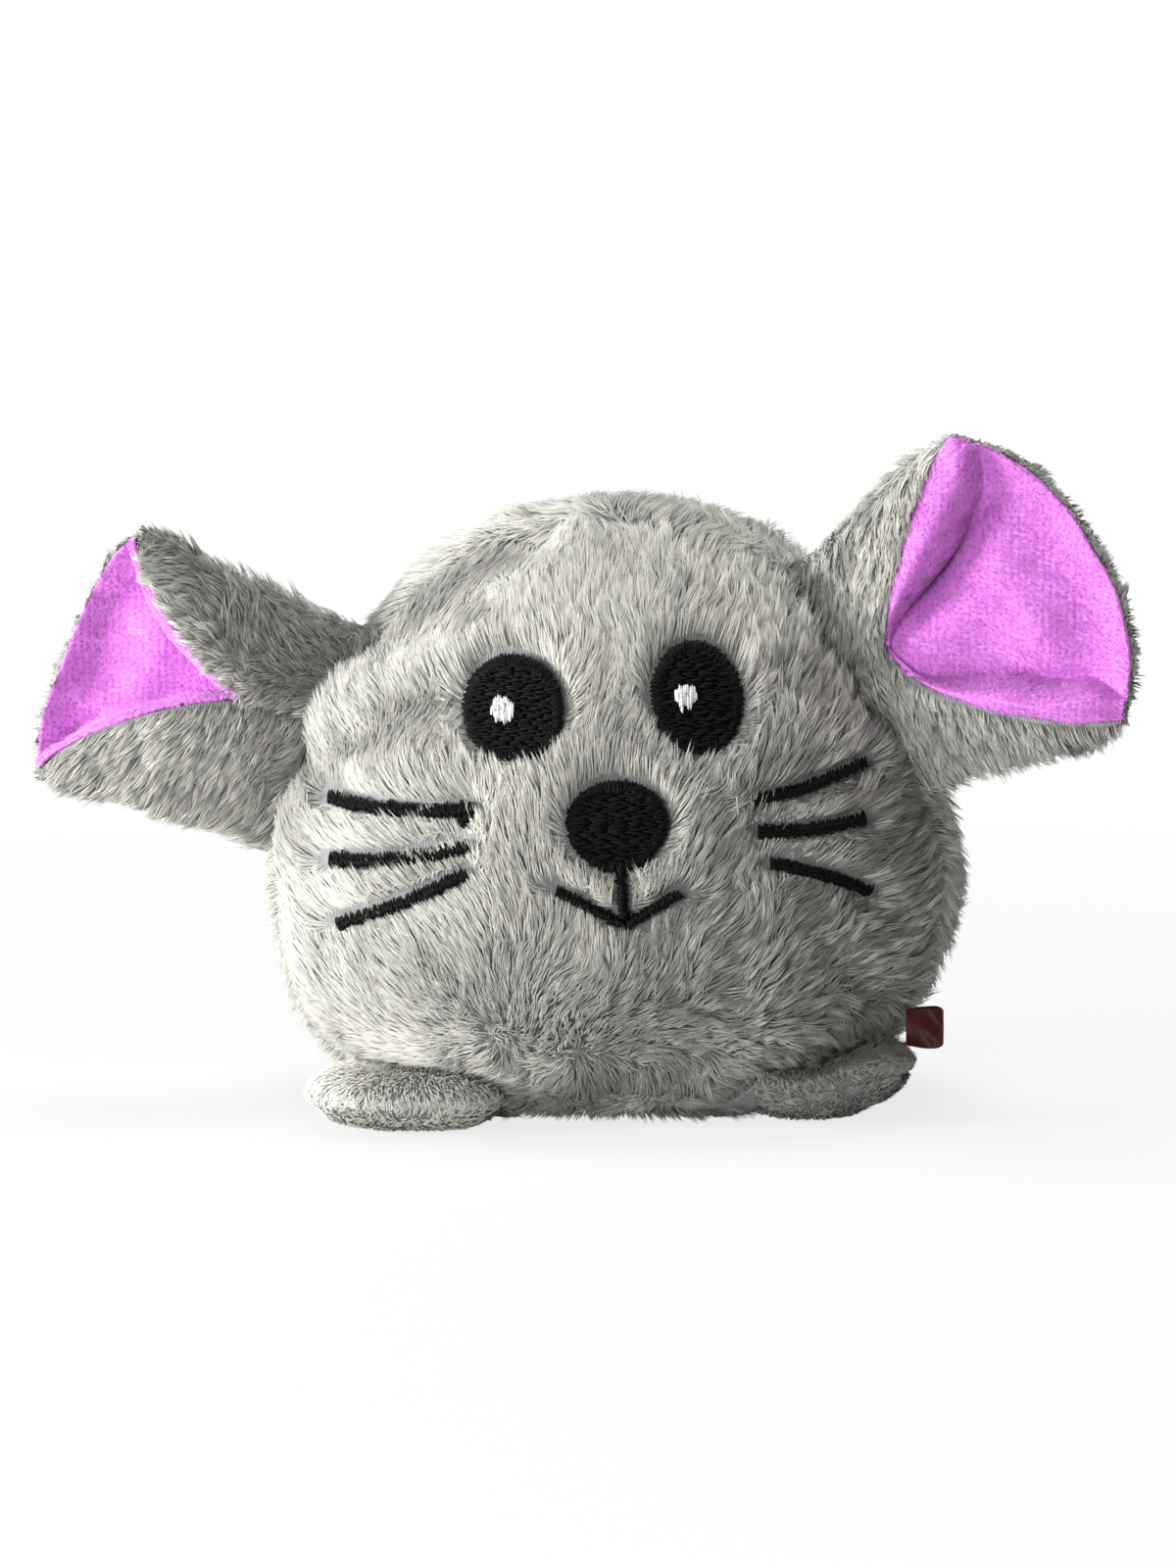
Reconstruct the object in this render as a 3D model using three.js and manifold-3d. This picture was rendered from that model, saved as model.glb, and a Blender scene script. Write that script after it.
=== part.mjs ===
// A stuffed plush mouse ball. A domed face panel and two back panels close over a fibre filling, two
// cupped ears are sewn into the seam between them, and two flat feet are sewn to a small base panel.
// Left and right are as seen from the front. The face looks along -Y, and the floor is z = 0.
import * as THREE from "three";
import { mergeVertices } from "three/addons/utils/BufferGeometryUtils.js";
import Module from "manifold-3d";

const wasm = await Module();
wasm.setup();

// Body: an egg of plush, widest below its middle
const bodyHalfWidth = 39.6;
const bodyFrontDepth = 33;
const bodyBackDepth = 34;
const waistHeight = 27;
const crownRise = 44;
const bellyDrop = 27.5; // reaches just under the floor, where the belly is pressed flat
const crownFullnessShare = 1.95; // exponents of the outline: 2 is an ellipse, more is squarer
const bellyFullnessShare = 2.6;
const girthFullnessShare = 2.2;
const bodyHeight = waistHeight + crownRise;
const crownLean = 1.8; // the crown sits a little to the right
const panelThickness = 2.5;
const seamGap = 0.3;

// Seam between the face and back panels, twisted a little because the toy is hand stuffed
const seamSetForward = 8.5;
const lowSeamSkewShare = 0.03;
const earSeamSkewShare = -0.12;
const baseHalfWidth = 23;
const baseHalfDepth = 19;

// Sachet of dried catnip, pushed in last through the closing gap in the back seam
const sachetWidth = 24;
const sachetHeight = 18;
const sachetDepth = 11;
const sachetCentreHeight = 33;

// Ears: cups of plush, pinched where they are sewn in and open towards the front
const earRootRadius = 1.2;
const earBackThickness = 1.5;
const earLiningThickness = 1;
const pinchHalfGap = 0.35;
const leftEar = {
  name: "left_ear",
  side: -1,
  seatHeight: 43.3,
  length: 27.2,
  rootHalfHeight: 14.2,
  tipHalfHeight: 17,
  tipRise: -0.1,
  cupDepth: 8,
  lapelDepth: 5,
  tipCupDepth: 4.5,
  tipLapelDepth: 3,
  pinchDistance: 3.4,
  tipRound: 4,
  tipRoundShare: 4,
  mouthShare: 1.5,
};
const rightEar = {
  name: "right_ear",
  side: 1,
  seatHeight: 51,
  length: 30,
  rootHalfHeight: 15.8,
  tipHalfHeight: 20.2,
  tipRise: 0.8,
  cupDepth: 8.5,
  lapelDepth: 5,
  tipCupDepth: 4.5,
  tipLapelDepth: 3,
  pinchDistance: 0.8,
  tipRound: 8.6,
  tipRoundShare: 2.6,
  mouthShare: 0.5,
};
const earSpreadShare = 0.7; // share of the length over which an ear grows to its full height
const earSwellShare = 0.8; // exponents of the cup's depth along the ear
const earPlainShare = 0.6;
const hollowStartShare = 0.02;

// Feet: flat pillows under the front of the belly, each with its own sole
const footHalfWidth = 12.6;
const footHalfDepth = 12;
const footHeight = 8;
const footFullnessShare = 2.6;
const footFlat = 0.5; // depth of the pillow that the toy's weight presses flat
const soleThickness = 1.8;
const footBackCut = 5; // the foot ends this far behind its middle, where it is sewn to the base
const leftFootPlace = { across: -22, forward: 17 };
const rightFootPlace = { across: 23.8, forward: 13 };

// Embroidery: satin stitch raised on the face
const stitchThickness = 0.8;
const leftEyeHalfWidth = 5.5;
const leftEyeHalfHeight = 5.7;
const rightEyeHalfWidth = 5.1;
const rightEyeHalfHeight = 6.3;
const rightEyeTurnDegrees = 13;
const leftEyeShares = [-0.279, 0.681];
const leftGlintShares = [-0.308, 0.681];
const rightEyeShares = [0.25, 0.7];
const rightGlintShares = [0.217, 0.705];
const glintHalfWidth = 1.1;
const glintHalfHeight = 1.4;
const nosePlaceShares = [0.022, 0.506];
const noseHalfWidth = 5.7;
const noseHalfHeight = 5.2;
const noseTaperShare = 0.08;
const mouthStrokeWidth = 1.25;
const mouthTipShares = [0.053, 0.346];
const mouthLeftShares = [-0.15, 0.406];
const mouthRightShares = [0.202, 0.404];
const leftWhiskerWidth = 1.55;
const rightWhiskerWidth = 1.3;
const whiskers = [
  { name: "left_whisker_upper", rootShares: [-0.4, 0.533], tipShares: [-0.813, 0.531] },
  { name: "left_whisker_middle", rootShares: [-0.405, 0.476], tipShares: [-0.806, 0.429] },
  { name: "left_whisker_lower", rootShares: [-0.404, 0.43], tipShares: [-0.783, 0.332] },
  { name: "right_whisker_upper", rootShares: [0.412, 0.544], tipShares: [0.742, 0.592] },
  { name: "right_whisker_middle", rootShares: [0.424, 0.495], tipShares: [0.74, 0.498] },
  { name: "right_whisker_lower", rootShares: [0.46, 0.444], tipShares: [0.753, 0.379] },
];

// Side tag: a blank loop of satin ribbon in the right seam
const tagHeight = 4.8;
const tagLength = 3.2;
const ribbonThickness = 0.4;
const tagLoopRadius = 0.75;
const tagCentreHeight = 9.8;

// Fineness of the surfaces
const bodyColumns = 36;
const bodyRings = 20;
const fillingColumns = 24;
const fillingRings = 14;
const earSectionPoints = 20;
const earStations = 9;
const rootTurnShares = [0.1, 0.4, 0.75]; // quarter-circle steps round the ear's root
const seamCells = 24;
const footColumns = 28;
const footRings = 9;
const noseSteps = 28;
const strokeSteps = 4;
const stitchColumns = 72;
const stitchRings = 40;
const baseSteps = 10;
const sachetSteps = 8;
const tagSteps = 6;
const mouthSteps = 10; // along the open front of an ear
const mouthPoints = 8; // round a section of the space in front of an ear
const bisections = 40;
const smallTurn = 0.01;
const overrun = 60; // how far cutting shapes run past the toy

// Solids

function solidOf(geometry) {
  const bare = geometry.clone();
  bare.deleteAttribute("normal");
  bare.deleteAttribute("uv");
  const merged = mergeVertices(bare, 1e-4);
  const mesh = new wasm.Mesh({
    numProp: 3,
    vertProperties: new Float32Array(merged.attributes.position.array),
    triVerts: new Uint32Array(merged.index.array),
  });
  return new wasm.Manifold(mesh);
}

function geometryOf(solid) {
  const mesh = solid.getMesh();
  const indexed = new THREE.BufferGeometry();
  indexed.setAttribute("position", new THREE.BufferAttribute(mesh.vertProperties, 3));
  indexed.setIndex(new THREE.BufferAttribute(mesh.triVerts, 1));
  const geometry = indexed.toNonIndexed();
  geometry.computeVertexNormals();
  return geometry;
}

// A closed skin over rings of points, each ring listed counterclockwise seen from the far end
function loft(rings) {
  const count = rings[0].length;
  const positions = [];
  const push = (a, b, c) => positions.push(...a.toArray(), ...b.toArray(), ...c.toArray());
  for (let k = 0; k + 1 < rings.length; k += 1) {
    for (let i = 0; i < count; i += 1) {
      const next = (i + 1) % count;
      push(rings[k][i], rings[k][next], rings[k + 1][next]);
      push(rings[k][i], rings[k + 1][next], rings[k + 1][i]);
    }
  }
  const first = rings[0];
  const last = rings[rings.length - 1];
  for (let low = 0, high = count - 1; low + 1 < high; low += 1, high -= 1) {
    push(first[low], first[high], first[low + 1]);
    push(last[low], last[low + 1], last[high]);
    if (low + 2 < high) {
      push(first[low + 1], first[high], first[high - 1]);
      push(last[low + 1], last[high - 1], last[high]);
    }
  }
  const geometry = new THREE.BufferGeometry();
  geometry.setAttribute("position", new THREE.Float32BufferAttribute(positions, 3));
  return solidOf(geometry);
}

function box(low, high) {
  const size = high.clone().sub(low);
  const geometry = new THREE.BoxGeometry(size.x, size.y, size.z);
  geometry.translate(...low.clone().add(high).multiplyScalar(0.5).toArray());
  return solidOf(geometry);
}

// A flat outline in the front view, cut straight back through the face
function frontPrism(shape) {
  const geometry = new THREE.ExtrudeGeometry(shape, { depth: overrun, bevelEnabled: false });
  geometry.rotateX(Math.PI / 2); // the outline's y becomes z, and the depth runs to the front
  return solidOf(geometry);
}

const aboveFloor = box(
  new THREE.Vector3(-overrun, -overrun, 0),
  new THREE.Vector3(overrun, overrun, 2 * overrun),
);

// Body

const power = (value, exponent) => Math.sign(value) * Math.abs(value) ** exponent;

// A point of the body skin, inset from the plush surface; azimuth 0 is +X and 90 degrees is the back
function bodyPoint(azimuth, latitude, inset) {
  const upper = latitude > 0;
  const fullness = upper ? crownFullnessShare : bellyFullnessShare;
  const rise = power(Math.sin(latitude), 2 / fullness);
  const girth = Math.max(0, Math.cos(latitude)) ** (2 / fullness);
  const across = power(Math.cos(azimuth), 2 / girthFullnessShare);
  const back = power(Math.sin(azimuth), 2 / girthFullnessShare);
  const depth = back > 0 ? bodyBackDepth : bodyFrontDepth;
  return new THREE.Vector3(
    (bodyHalfWidth - inset) * girth * across + (upper ? crownLean * rise * rise : 0),
    (depth - inset) * girth * back,
    waistHeight + ((upper ? crownRise : bellyDrop) - inset) * rise,
  );
}

function bodySolid(inset, columns = bodyColumns, rings = bodyRings) {
  const levels = [];
  for (let k = 1; k < rings; k += 1) {
    const latitude = Math.PI * (k / rings - 0.5);
    const ring = [];
    for (let i = 0; i < columns; i += 1) {
      ring.push(bodyPoint((2 * Math.PI * i) / columns, latitude, inset));
    }
    levels.push(ring);
  }
  return loft(levels).intersect(aboveFloor);
}

// How far back the seam lies at a place on the body
function seamDepth(across, height) {
  const climb = height / leftEar.seatHeight;
  const skew = lowSeamSkewShare + (earSeamSkewShare - lowSeamSkewShare) * climb;
  return -seamSetForward + skew * across;
}

// Everything in front of the seam surface, or behind it, less half the seam's gap
function seamSide(front) {
  const size = 2 * overrun;
  const geometry = new THREE.BoxGeometry(size, size, size, seamCells, 1, seamCells);
  const position = geometry.attributes.position;
  for (let i = 0; i < position.count; i += 1) {
    const x = position.getX(i);
    const z = position.getZ(i) + overrun;
    const nearSeam = position.getY(i) > 0 === front;
    const away = front ? -overrun : overrun;
    const seam = seamDepth(x, z) + (front ? -seamGap : seamGap) / 2;
    position.setXYZ(i, x, nearSeam ? seam : away, z);
  }
  return solidOf(geometry);
}

function basePrism(margin) {
  const outline = new THREE.Shape();
  outline.absellipse(0, 0, baseHalfWidth + margin, baseHalfDepth + margin, 0, 2 * Math.PI);
  const geometry = new THREE.ExtrudeGeometry(outline, {
    depth: waistHeight,
    bevelEnabled: false,
    curveSegments: baseSteps,
  });
  return solidOf(geometry);
}

const bodySkin = bodySolid(0);
const shell = bodySkin.subtract(bodySolid(panelThickness));
const wall = shell.subtract(basePrism(seamGap));
const rightHalf = box(
  new THREE.Vector3(seamGap / 2, -overrun, -overrun),
  new THREE.Vector3(overrun, overrun, 2 * overrun),
);
const leftHalf = box(
  new THREE.Vector3(-overrun, -overrun, -overrun),
  new THREE.Vector3(-seamGap / 2, overrun, 2 * overrun),
);

function bodyPieces() {
  const backWall = wall.intersect(seamSide(false));
  return {
    face_panel: wall.intersect(seamSide(true)),
    back_panel_left: backWall.intersect(leftHalf),
    back_panel_right: backWall.intersect(rightHalf),
    base_panel: shell.intersect(basePrism(0)),
  };
}

// The sachet's pocket in the filling, grown by a margin and open to the back
function sachetPocket(margin) {
  const outline = new THREE.Shape();
  outline.absellipse(0, 0, sachetWidth / 2 + margin, sachetHeight / 2 + margin, 0, 2 * Math.PI);
  const geometry = new THREE.ExtrudeGeometry(outline, {
    depth: overrun,
    bevelEnabled: false,
    curveSegments: sachetSteps,
  });
  geometry.rotateX(-Math.PI / 2);
  const front = bodyBackDepth - panelThickness - sachetDepth - margin;
  geometry.translate(0, front, sachetCentreHeight);
  return solidOf(geometry);
}

function fillingPieces() {
  const filling = bodySolid(panelThickness + seamGap, fillingColumns, fillingRings);
  return {
    fibre_filling: filling.subtract(sachetPocket(seamGap)),
    catnip_sachet: filling.intersect(sachetPocket(0)),
  };
}

// Ears, made in their own frame: x runs outward from the sewn root, z up along the seam, y to the back

// The latitude of the body skin at a height
function latitudeAt(height) {
  const upper = height > waistHeight;
  const rise = (height - waistHeight) / (upper ? crownRise : bellyDrop);
  return Math.asin(power(rise, (upper ? crownFullnessShare : bellyFullnessShare) / 2));
}

// The azimuth of the seam on one side of the body, at a latitude
function seamAzimuth(side, latitude) {
  let low = -Math.PI / 2;
  let high = Math.PI / 2;
  for (let step = 0; step < bisections; step += 1) {
    const turn = (low + high) / 2;
    const point = bodyPoint(side > 0 ? turn : Math.PI - turn, latitude, 0);
    if (point.y < seamDepth(point.x, point.z)) low = turn;
    else high = turn;
  }
  return side > 0 ? low : Math.PI - low;
}

// Where an ear is sewn on: its hinge point and the directions of its root
function earSeat(ear) {
  const latitude = latitudeAt(ear.seatHeight);
  const azimuth = seamAzimuth(ear.side, latitude);
  const point = bodyPoint(azimuth, latitude, 0);
  const alongGirth = bodyPoint(azimuth + smallTurn, latitude, 0).sub(point);
  const alongSeam = bodyPoint(azimuth, latitude + smallTurn, 0).sub(point);
  const outward = alongGirth.cross(alongSeam).normalize();
  const back = new THREE.Vector3(-earSeamSkewShare, 1, 0);
  back.addScaledVector(outward, -back.dot(outward)).normalize();
  const up = outward.clone().cross(back).multiplyScalar(ear.side);
  const hinge = point.addScaledVector(outward, earRootRadius + seamGap);
  return new THREE.Matrix4().makeBasis(outward, back, up).setPosition(hinge);
}

const smooth = (value) => value * value * (3 - 2 * value);
const mix = (from, to, share) => from + (to - from) * share;
const clamp = (value) => Math.min(1, Math.max(0, value));

// Half-height of an ear at a share of its length
function earHalfHeight(ear, share) {
  return mix(ear.rootHalfHeight, ear.tipHalfHeight, smooth(clamp(share / earSpreadShare)));
}

// Depth of the cup or of its lapels at a share of the length
function earDepth(ear, share, mid, tip) {
  const swell = Math.sin(Math.PI * clamp(share) ** earSwellShare);
  const plain = mix(earRootRadius, tip, clamp(share) ** earPlainShare);
  return plain + (mid - mix(earRootRadius, tip, earPlainShare)) * swell;
}

// A place in the ear: share of its length, share of its half-height and depth behind its middle
function earPoint(ear, share, height, depth) {
  const across = Math.min(1, Math.abs(height) / earHalfHeight(ear, share));
  const sag = (ear.rootHalfHeight ** 2 * bodyHalfWidth) / (2 * crownRise ** 2);
  const rootSag = sag * (1 - clamp(share)) ** 2 * across ** 2;
  const tipSag = ear.tipRound * Math.max(0, share) ** 3 * across ** ear.tipRoundShare;
  return new THREE.Vector3(
    ear.length * share - rootSag - tipSag,
    depth,
    height + ear.tipRise * Math.max(0, share),
  );
}

// A section of the ear, inset from its surface
function earRing(ear, share, inset) {
  const ring = [];
  const halfHeight = earHalfHeight(ear, share) - inset;
  const cup = earDepth(ear, share, ear.cupDepth, ear.tipCupDepth) - inset;
  const lapel = earDepth(ear, share, ear.lapelDepth, ear.tipLapelDepth) - inset;
  for (let i = 0; i < earSectionPoints; i += 1) {
    const turn = (2 * Math.PI * i) / earSectionPoints;
    const back = Math.sin(turn);
    ring.push(earPoint(ear, share, -halfHeight * Math.cos(turn), back > 0 ? cup * back : lapel * back));
  }
  return ring;
}

// The ear filled out as one body, with a rounded root that turns on the hinge line
function earBody(ear) {
  const rings = [];
  for (const turn of rootTurnShares) {
    const reach = -earRootRadius * Math.cos((turn * Math.PI) / 2);
    const thin = earRootRadius * Math.sin((turn * Math.PI) / 2);
    const ring = [];
    for (let i = 0; i < earSectionPoints; i += 1) {
      const around = (2 * Math.PI * i) / earSectionPoints;
      const height = -(ear.rootHalfHeight - earRootRadius + thin) * Math.cos(around);
      const point = earPoint(ear, 0, height, thin * Math.sin(around));
      point.x += reach;
      ring.push(point);
    }
    rings.push(ring);
  }
  for (let k = 0; k <= earStations; k += 1) {
    rings.push(earRing(ear, k / earStations, 0));
  }
  return loft(rings);
}

// The hollow of the ear at an inset, from a little way out of the root to past the tip
function earHollow(ear, inset) {
  const rings = [];
  const start = (inset + earRootRadius) / ear.length + hollowStartShare;
  for (let k = 0; k <= earStations; k += 1) {
    rings.push(earRing(ear, mix(start, 1, k / earStations), inset));
  }
  const past = earRing(ear, 1, inset).map((point) => point.setX(point.x + ear.tipRound + earRootRadius));
  rings.push(past);
  return loft(rings);
}

// The open front of the cup, between the two lapel edges
function earMouth(ear) {
  const rings = [];
  const pinch = ear.pinchDistance / ear.length;
  const last = mouthPoints - 1;
  const across = mouthPoints / 2 - 1;
  for (let k = 0; k <= mouthSteps + 1; k += 1) {
    const share = mix(pinch, 1, Math.min(k, mouthSteps) / mouthSteps);
    const opening = ((share - pinch) / (1 - pinch)) ** ear.mouthShare;
    const half = Math.max(pinchHalfGap, opening * earHalfHeight(ear, share));
    const beyond = k > mouthSteps ? ear.tipRound + earRootRadius : 0;
    const ring = [];
    for (let i = 0; i < mouthPoints; i += 1) {
      const height = mix(-half, half, Math.min(i, last - i) / across);
      const depth = i <= across ? 0 : -overrun;
      const point = earPoint(ear, share, height, depth);
      ring.push(point.setX(point.x + beyond));
    }
    rings.push(ring);
  }
  return loft(rings);
}

function earPieces(ear) {
  const body = earBody(ear);
  const mouth = earMouth(ear);
  const liningInset = earBackThickness + seamGap;
  const back = body.subtract(earHollow(ear, earBackThickness)).subtract(mouth);
  const lining = body
    .intersect(earHollow(ear, liningInset))
    .subtract(earHollow(ear, liningInset + earLiningThickness))
    .subtract(mouth);
  return { [`${ear.name}_back`]: back, [`${ear.name}_lining`]: lining };
}

// Feet

function footPillow() {
  const rings = [];
  for (let k = 1; k < footRings; k += 1) {
    const latitude = Math.PI * (k / footRings - 0.5);
    const girth = Math.cos(latitude) ** (2 / footFullnessShare);
    const level = (1 + power(Math.sin(latitude), 2 / footFullnessShare)) / 2;
    const ring = [];
    for (let i = 0; i < footColumns; i += 1) {
      const turn = (2 * Math.PI * i) / footColumns;
      ring.push(
        new THREE.Vector3(
          footHalfWidth * girth * power(Math.cos(turn), 2 / footFullnessShare),
          footHalfDepth * girth * power(Math.sin(turn), 2 / footFullnessShare),
          mix(-footFlat, footHeight, level),
        ),
      );
    }
    rings.push(ring);
  }
  return loft(rings);
}

// A foot is cut where the belly lies on it and along its sewn back edge, then split into its sole and upper
function footPieces(name, place) {
  const seat = box(
    new THREE.Vector3(-overrun, -overrun, 0),
    new THREE.Vector3(overrun, footBackCut - place.forward, footHeight),
  );
  const pillow = footPillow()
    .translate([place.across, -place.forward, 0])
    .subtract(bodySolid(-seamGap))
    .intersect(seat);
  const low = new THREE.Vector3(-overrun, -overrun, -overrun);
  const above = box(low.clone().setZ(soleThickness + seamGap), new THREE.Vector3(overrun, overrun, overrun));
  const below = box(low, new THREE.Vector3(overrun, overrun, soleThickness));
  return {
    [`${name}_foot_upper`]: pillow.intersect(above),
    [`${name}_foot_sole`]: pillow.intersect(below),
  };
}

// Embroidery

const stitchTop = bodySolid(-seamGap - stitchThickness, stitchColumns, stitchRings);
const stitchBand = stitchTop.subtract(bodySolid(-seamGap, stitchColumns, stitchRings));

// A place on the face in the front view, from shares of the body's half-width and height
function facePlace(shares) {
  return new THREE.Vector2(shares[0] * bodyHalfWidth, shares[1] * bodyHeight);
}

function ellipseShape(place, halfWidth, halfHeight, turnDegrees = 0) {
  const shape = new THREE.Shape();
  const turn = THREE.MathUtils.degToRad(turnDegrees);
  shape.absellipse(place.x, place.y, halfWidth, halfHeight, 0, 2 * Math.PI, false, turn);
  return shape;
}

// A stroke of satin stitch along a curve in the front view
function strokeShape(curve, width, steps) {
  const left = [];
  const right = [];
  for (let k = 0; k <= steps; k += 1) {
    const point = curve.getPoint(k / steps);
    const tangent = curve.getTangent(k / steps);
    const side = new THREE.Vector2(-tangent.y, tangent.x).multiplyScalar(width / 2);
    left.push(point.clone().add(side));
    right.unshift(point.clone().sub(side));
  }
  return new THREE.Shape([...left, ...right]);
}

function stitches(shape) {
  return stitchBand.intersect(frontPrism(shape));
}

// An eye's disc, with a window for its highlight
function eyePieces(name, disc, glintShares) {
  const place = facePlace(glintShares);
  const glint = ellipseShape(place, glintHalfWidth, glintHalfHeight);
  const window = ellipseShape(place, glintHalfWidth + seamGap, glintHalfHeight + seamGap);
  return {
    [name]: stitches(disc).subtract(frontPrism(window)),
    [`${name}_highlight`]: stitches(glint),
  };
}

function nosePiece() {
  const place = facePlace(nosePlaceShares);
  const points = [];
  for (let i = 0; i < noseSteps; i += 1) {
    const turn = (2 * Math.PI * i) / noseSteps;
    const width = noseHalfWidth * (1 + noseTaperShare * Math.sin(turn));
    const offset = new THREE.Vector2(width * Math.cos(turn), noseHalfHeight * Math.sin(turn));
    points.push(place.clone().add(offset));
  }
  return stitches(new THREE.Shape(points));
}

function mouthPieces() {
  const tip = facePlace(mouthTipShares);
  const leftArm = new THREE.LineCurve(facePlace(mouthLeftShares), tip);
  const rightArm = new THREE.LineCurve(tip, facePlace(mouthRightShares));
  const mouth = stitches(strokeShape(leftArm, mouthStrokeWidth, strokeSteps)).add(
    stitches(strokeShape(rightArm, mouthStrokeWidth, strokeSteps)),
  );
  const top = facePlace(nosePlaceShares);
  top.y -= noseHalfHeight + seamGap;
  const foot = tip.clone().add(new THREE.Vector2(0, mouthStrokeWidth / Math.SQRT2 + 2 * seamGap));
  const philtrum = stitches(strokeShape(new THREE.LineCurve(top, foot), mouthStrokeWidth, strokeSteps));
  return { philtrum, mouth };
}

function whiskerPieces() {
  const pieces = {};
  for (const { name, rootShares, tipShares } of whiskers) {
    const line = new THREE.LineCurve(facePlace(rootShares), facePlace(tipShares));
    const width = name.startsWith("left") ? leftWhiskerWidth : rightWhiskerWidth;
    pieces[name] = stitches(strokeShape(line, width, strokeSteps));
  }
  return pieces;
}

// Side tag: the ribbon runs out of the seam, round a loop and back, made round its own hinge line

function tagPiece() {
  const outer = new THREE.Shape();
  const radius = tagLoopRadius;
  outer.moveTo(0, -radius);
  outer.lineTo(tagLength - radius, -radius);
  outer.absarc(tagLength - radius, 0, radius, -Math.PI / 2, Math.PI / 2);
  outer.lineTo(0, radius);
  outer.absarc(0, 0, radius, Math.PI / 2, (3 * Math.PI) / 2);
  const hole = new THREE.Path();
  const inner = radius - ribbonThickness;
  hole.absarc(tagLength - radius, 0, inner, -Math.PI / 2, Math.PI / 2);
  hole.absarc(radius, 0, inner, Math.PI / 2, (3 * Math.PI) / 2);
  outer.holes.push(hole);
  const geometry = new THREE.ExtrudeGeometry(outer, {
    depth: tagHeight,
    bevelEnabled: false,
    curveSegments: tagSteps,
  });
  geometry.translate(0, 0, -tagHeight / 2);
  return solidOf(geometry);
}

// The tag's hinge: upright, just outside the widest part of the seam that the ribbon comes out of
function tagSeat() {
  const latitude = latitudeAt(tagCentreHeight + tagHeight / 2);
  const seam = bodyPoint(seamAzimuth(1, latitude), latitude, 0);
  return new THREE.Vector3(seam.x + tagLoopRadius + seamGap, seam.y, tagCentreHeight);
}

// Assembly

const plush = { color: 0x96928c, roughness: 0.95, metalness: 0 };
const velour = { color: 0xcf7fdc, roughness: 0.9, metalness: 0 };
const blackThread = { color: 0x0c0c0d, roughness: 0.45, metalness: 0 };
const whiteThread = { color: 0xf2f1ee, roughness: 0.45, metalness: 0 };
const redSatin = { color: 0x7a1712, roughness: 0.4, metalness: 0 };
const fibre = { color: 0xf0eee8, roughness: 1, metalness: 0 };
const sachetCloth = { color: 0xd9d3bf, roughness: 0.9, metalness: 0 };

function addPiece(group, name, solid, look) {
  const mesh = new THREE.Mesh(geometryOf(solid), new THREE.MeshStandardMaterial(look));
  mesh.name = name;
  group.add(mesh);
}

function addPieces(group, pieces, look) {
  for (const [name, solid] of Object.entries(pieces)) {
    addPiece(group, name, solid, look);
  }
}

function earGroup(ear) {
  const group = new THREE.Group();
  group.applyMatrix4(earSeat(ear)); // the left ear's frame is a mirrored one
  const pieces = earPieces(ear);
  addPiece(group, `${ear.name}_back`, pieces[`${ear.name}_back`], plush);
  addPiece(group, `${ear.name}_lining`, pieces[`${ear.name}_lining`], velour);
  return group;
}

const mouse = new THREE.Group();
mouse.name = "plush_mouse";
addPieces(mouse, bodyPieces(), plush);
const inside = fillingPieces();
addPiece(mouse, "fibre_filling", inside.fibre_filling, fibre);
addPiece(mouse, "catnip_sachet", inside.catnip_sachet, sachetCloth);
mouse.add(earGroup(leftEar), earGroup(rightEar));
addPieces(mouse, footPieces("left", leftFootPlace), plush);
addPieces(mouse, footPieces("right", rightFootPlace), plush);
const leftDisc = ellipseShape(facePlace(leftEyeShares), leftEyeHalfWidth, leftEyeHalfHeight);
const rightDisc = ellipseShape(
  facePlace(rightEyeShares),
  rightEyeHalfWidth,
  rightEyeHalfHeight,
  rightEyeTurnDegrees,
);
const eyes = {
  ...eyePieces("left_eye", leftDisc, leftGlintShares),
  ...eyePieces("right_eye", rightDisc, rightGlintShares),
};
for (const [name, solid] of Object.entries(eyes)) {
  addPiece(mouse, name, solid, name.endsWith("highlight") ? whiteThread : blackThread);
}
addPiece(mouse, "nose", nosePiece(), blackThread);
addPieces(mouse, mouthPieces(), blackThread);
addPieces(mouse, whiskerPieces(), blackThread);
const tag = new THREE.Group();
tag.position.copy(tagSeat());
addPiece(tag, "side_tag", tagPiece(), redSatin);
mouse.add(tag);

export default mouse;
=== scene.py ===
"""Plush mouse cat toy: cloth, nap, lining, embroidery and ribbon, built round the packed model."""

import math

import bpy
import numpy as np
from bpy.props import FloatProperty, FloatVectorProperty, IntProperty, PointerProperty
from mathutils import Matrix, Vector
from mathutils.kdtree import KDTree


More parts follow.
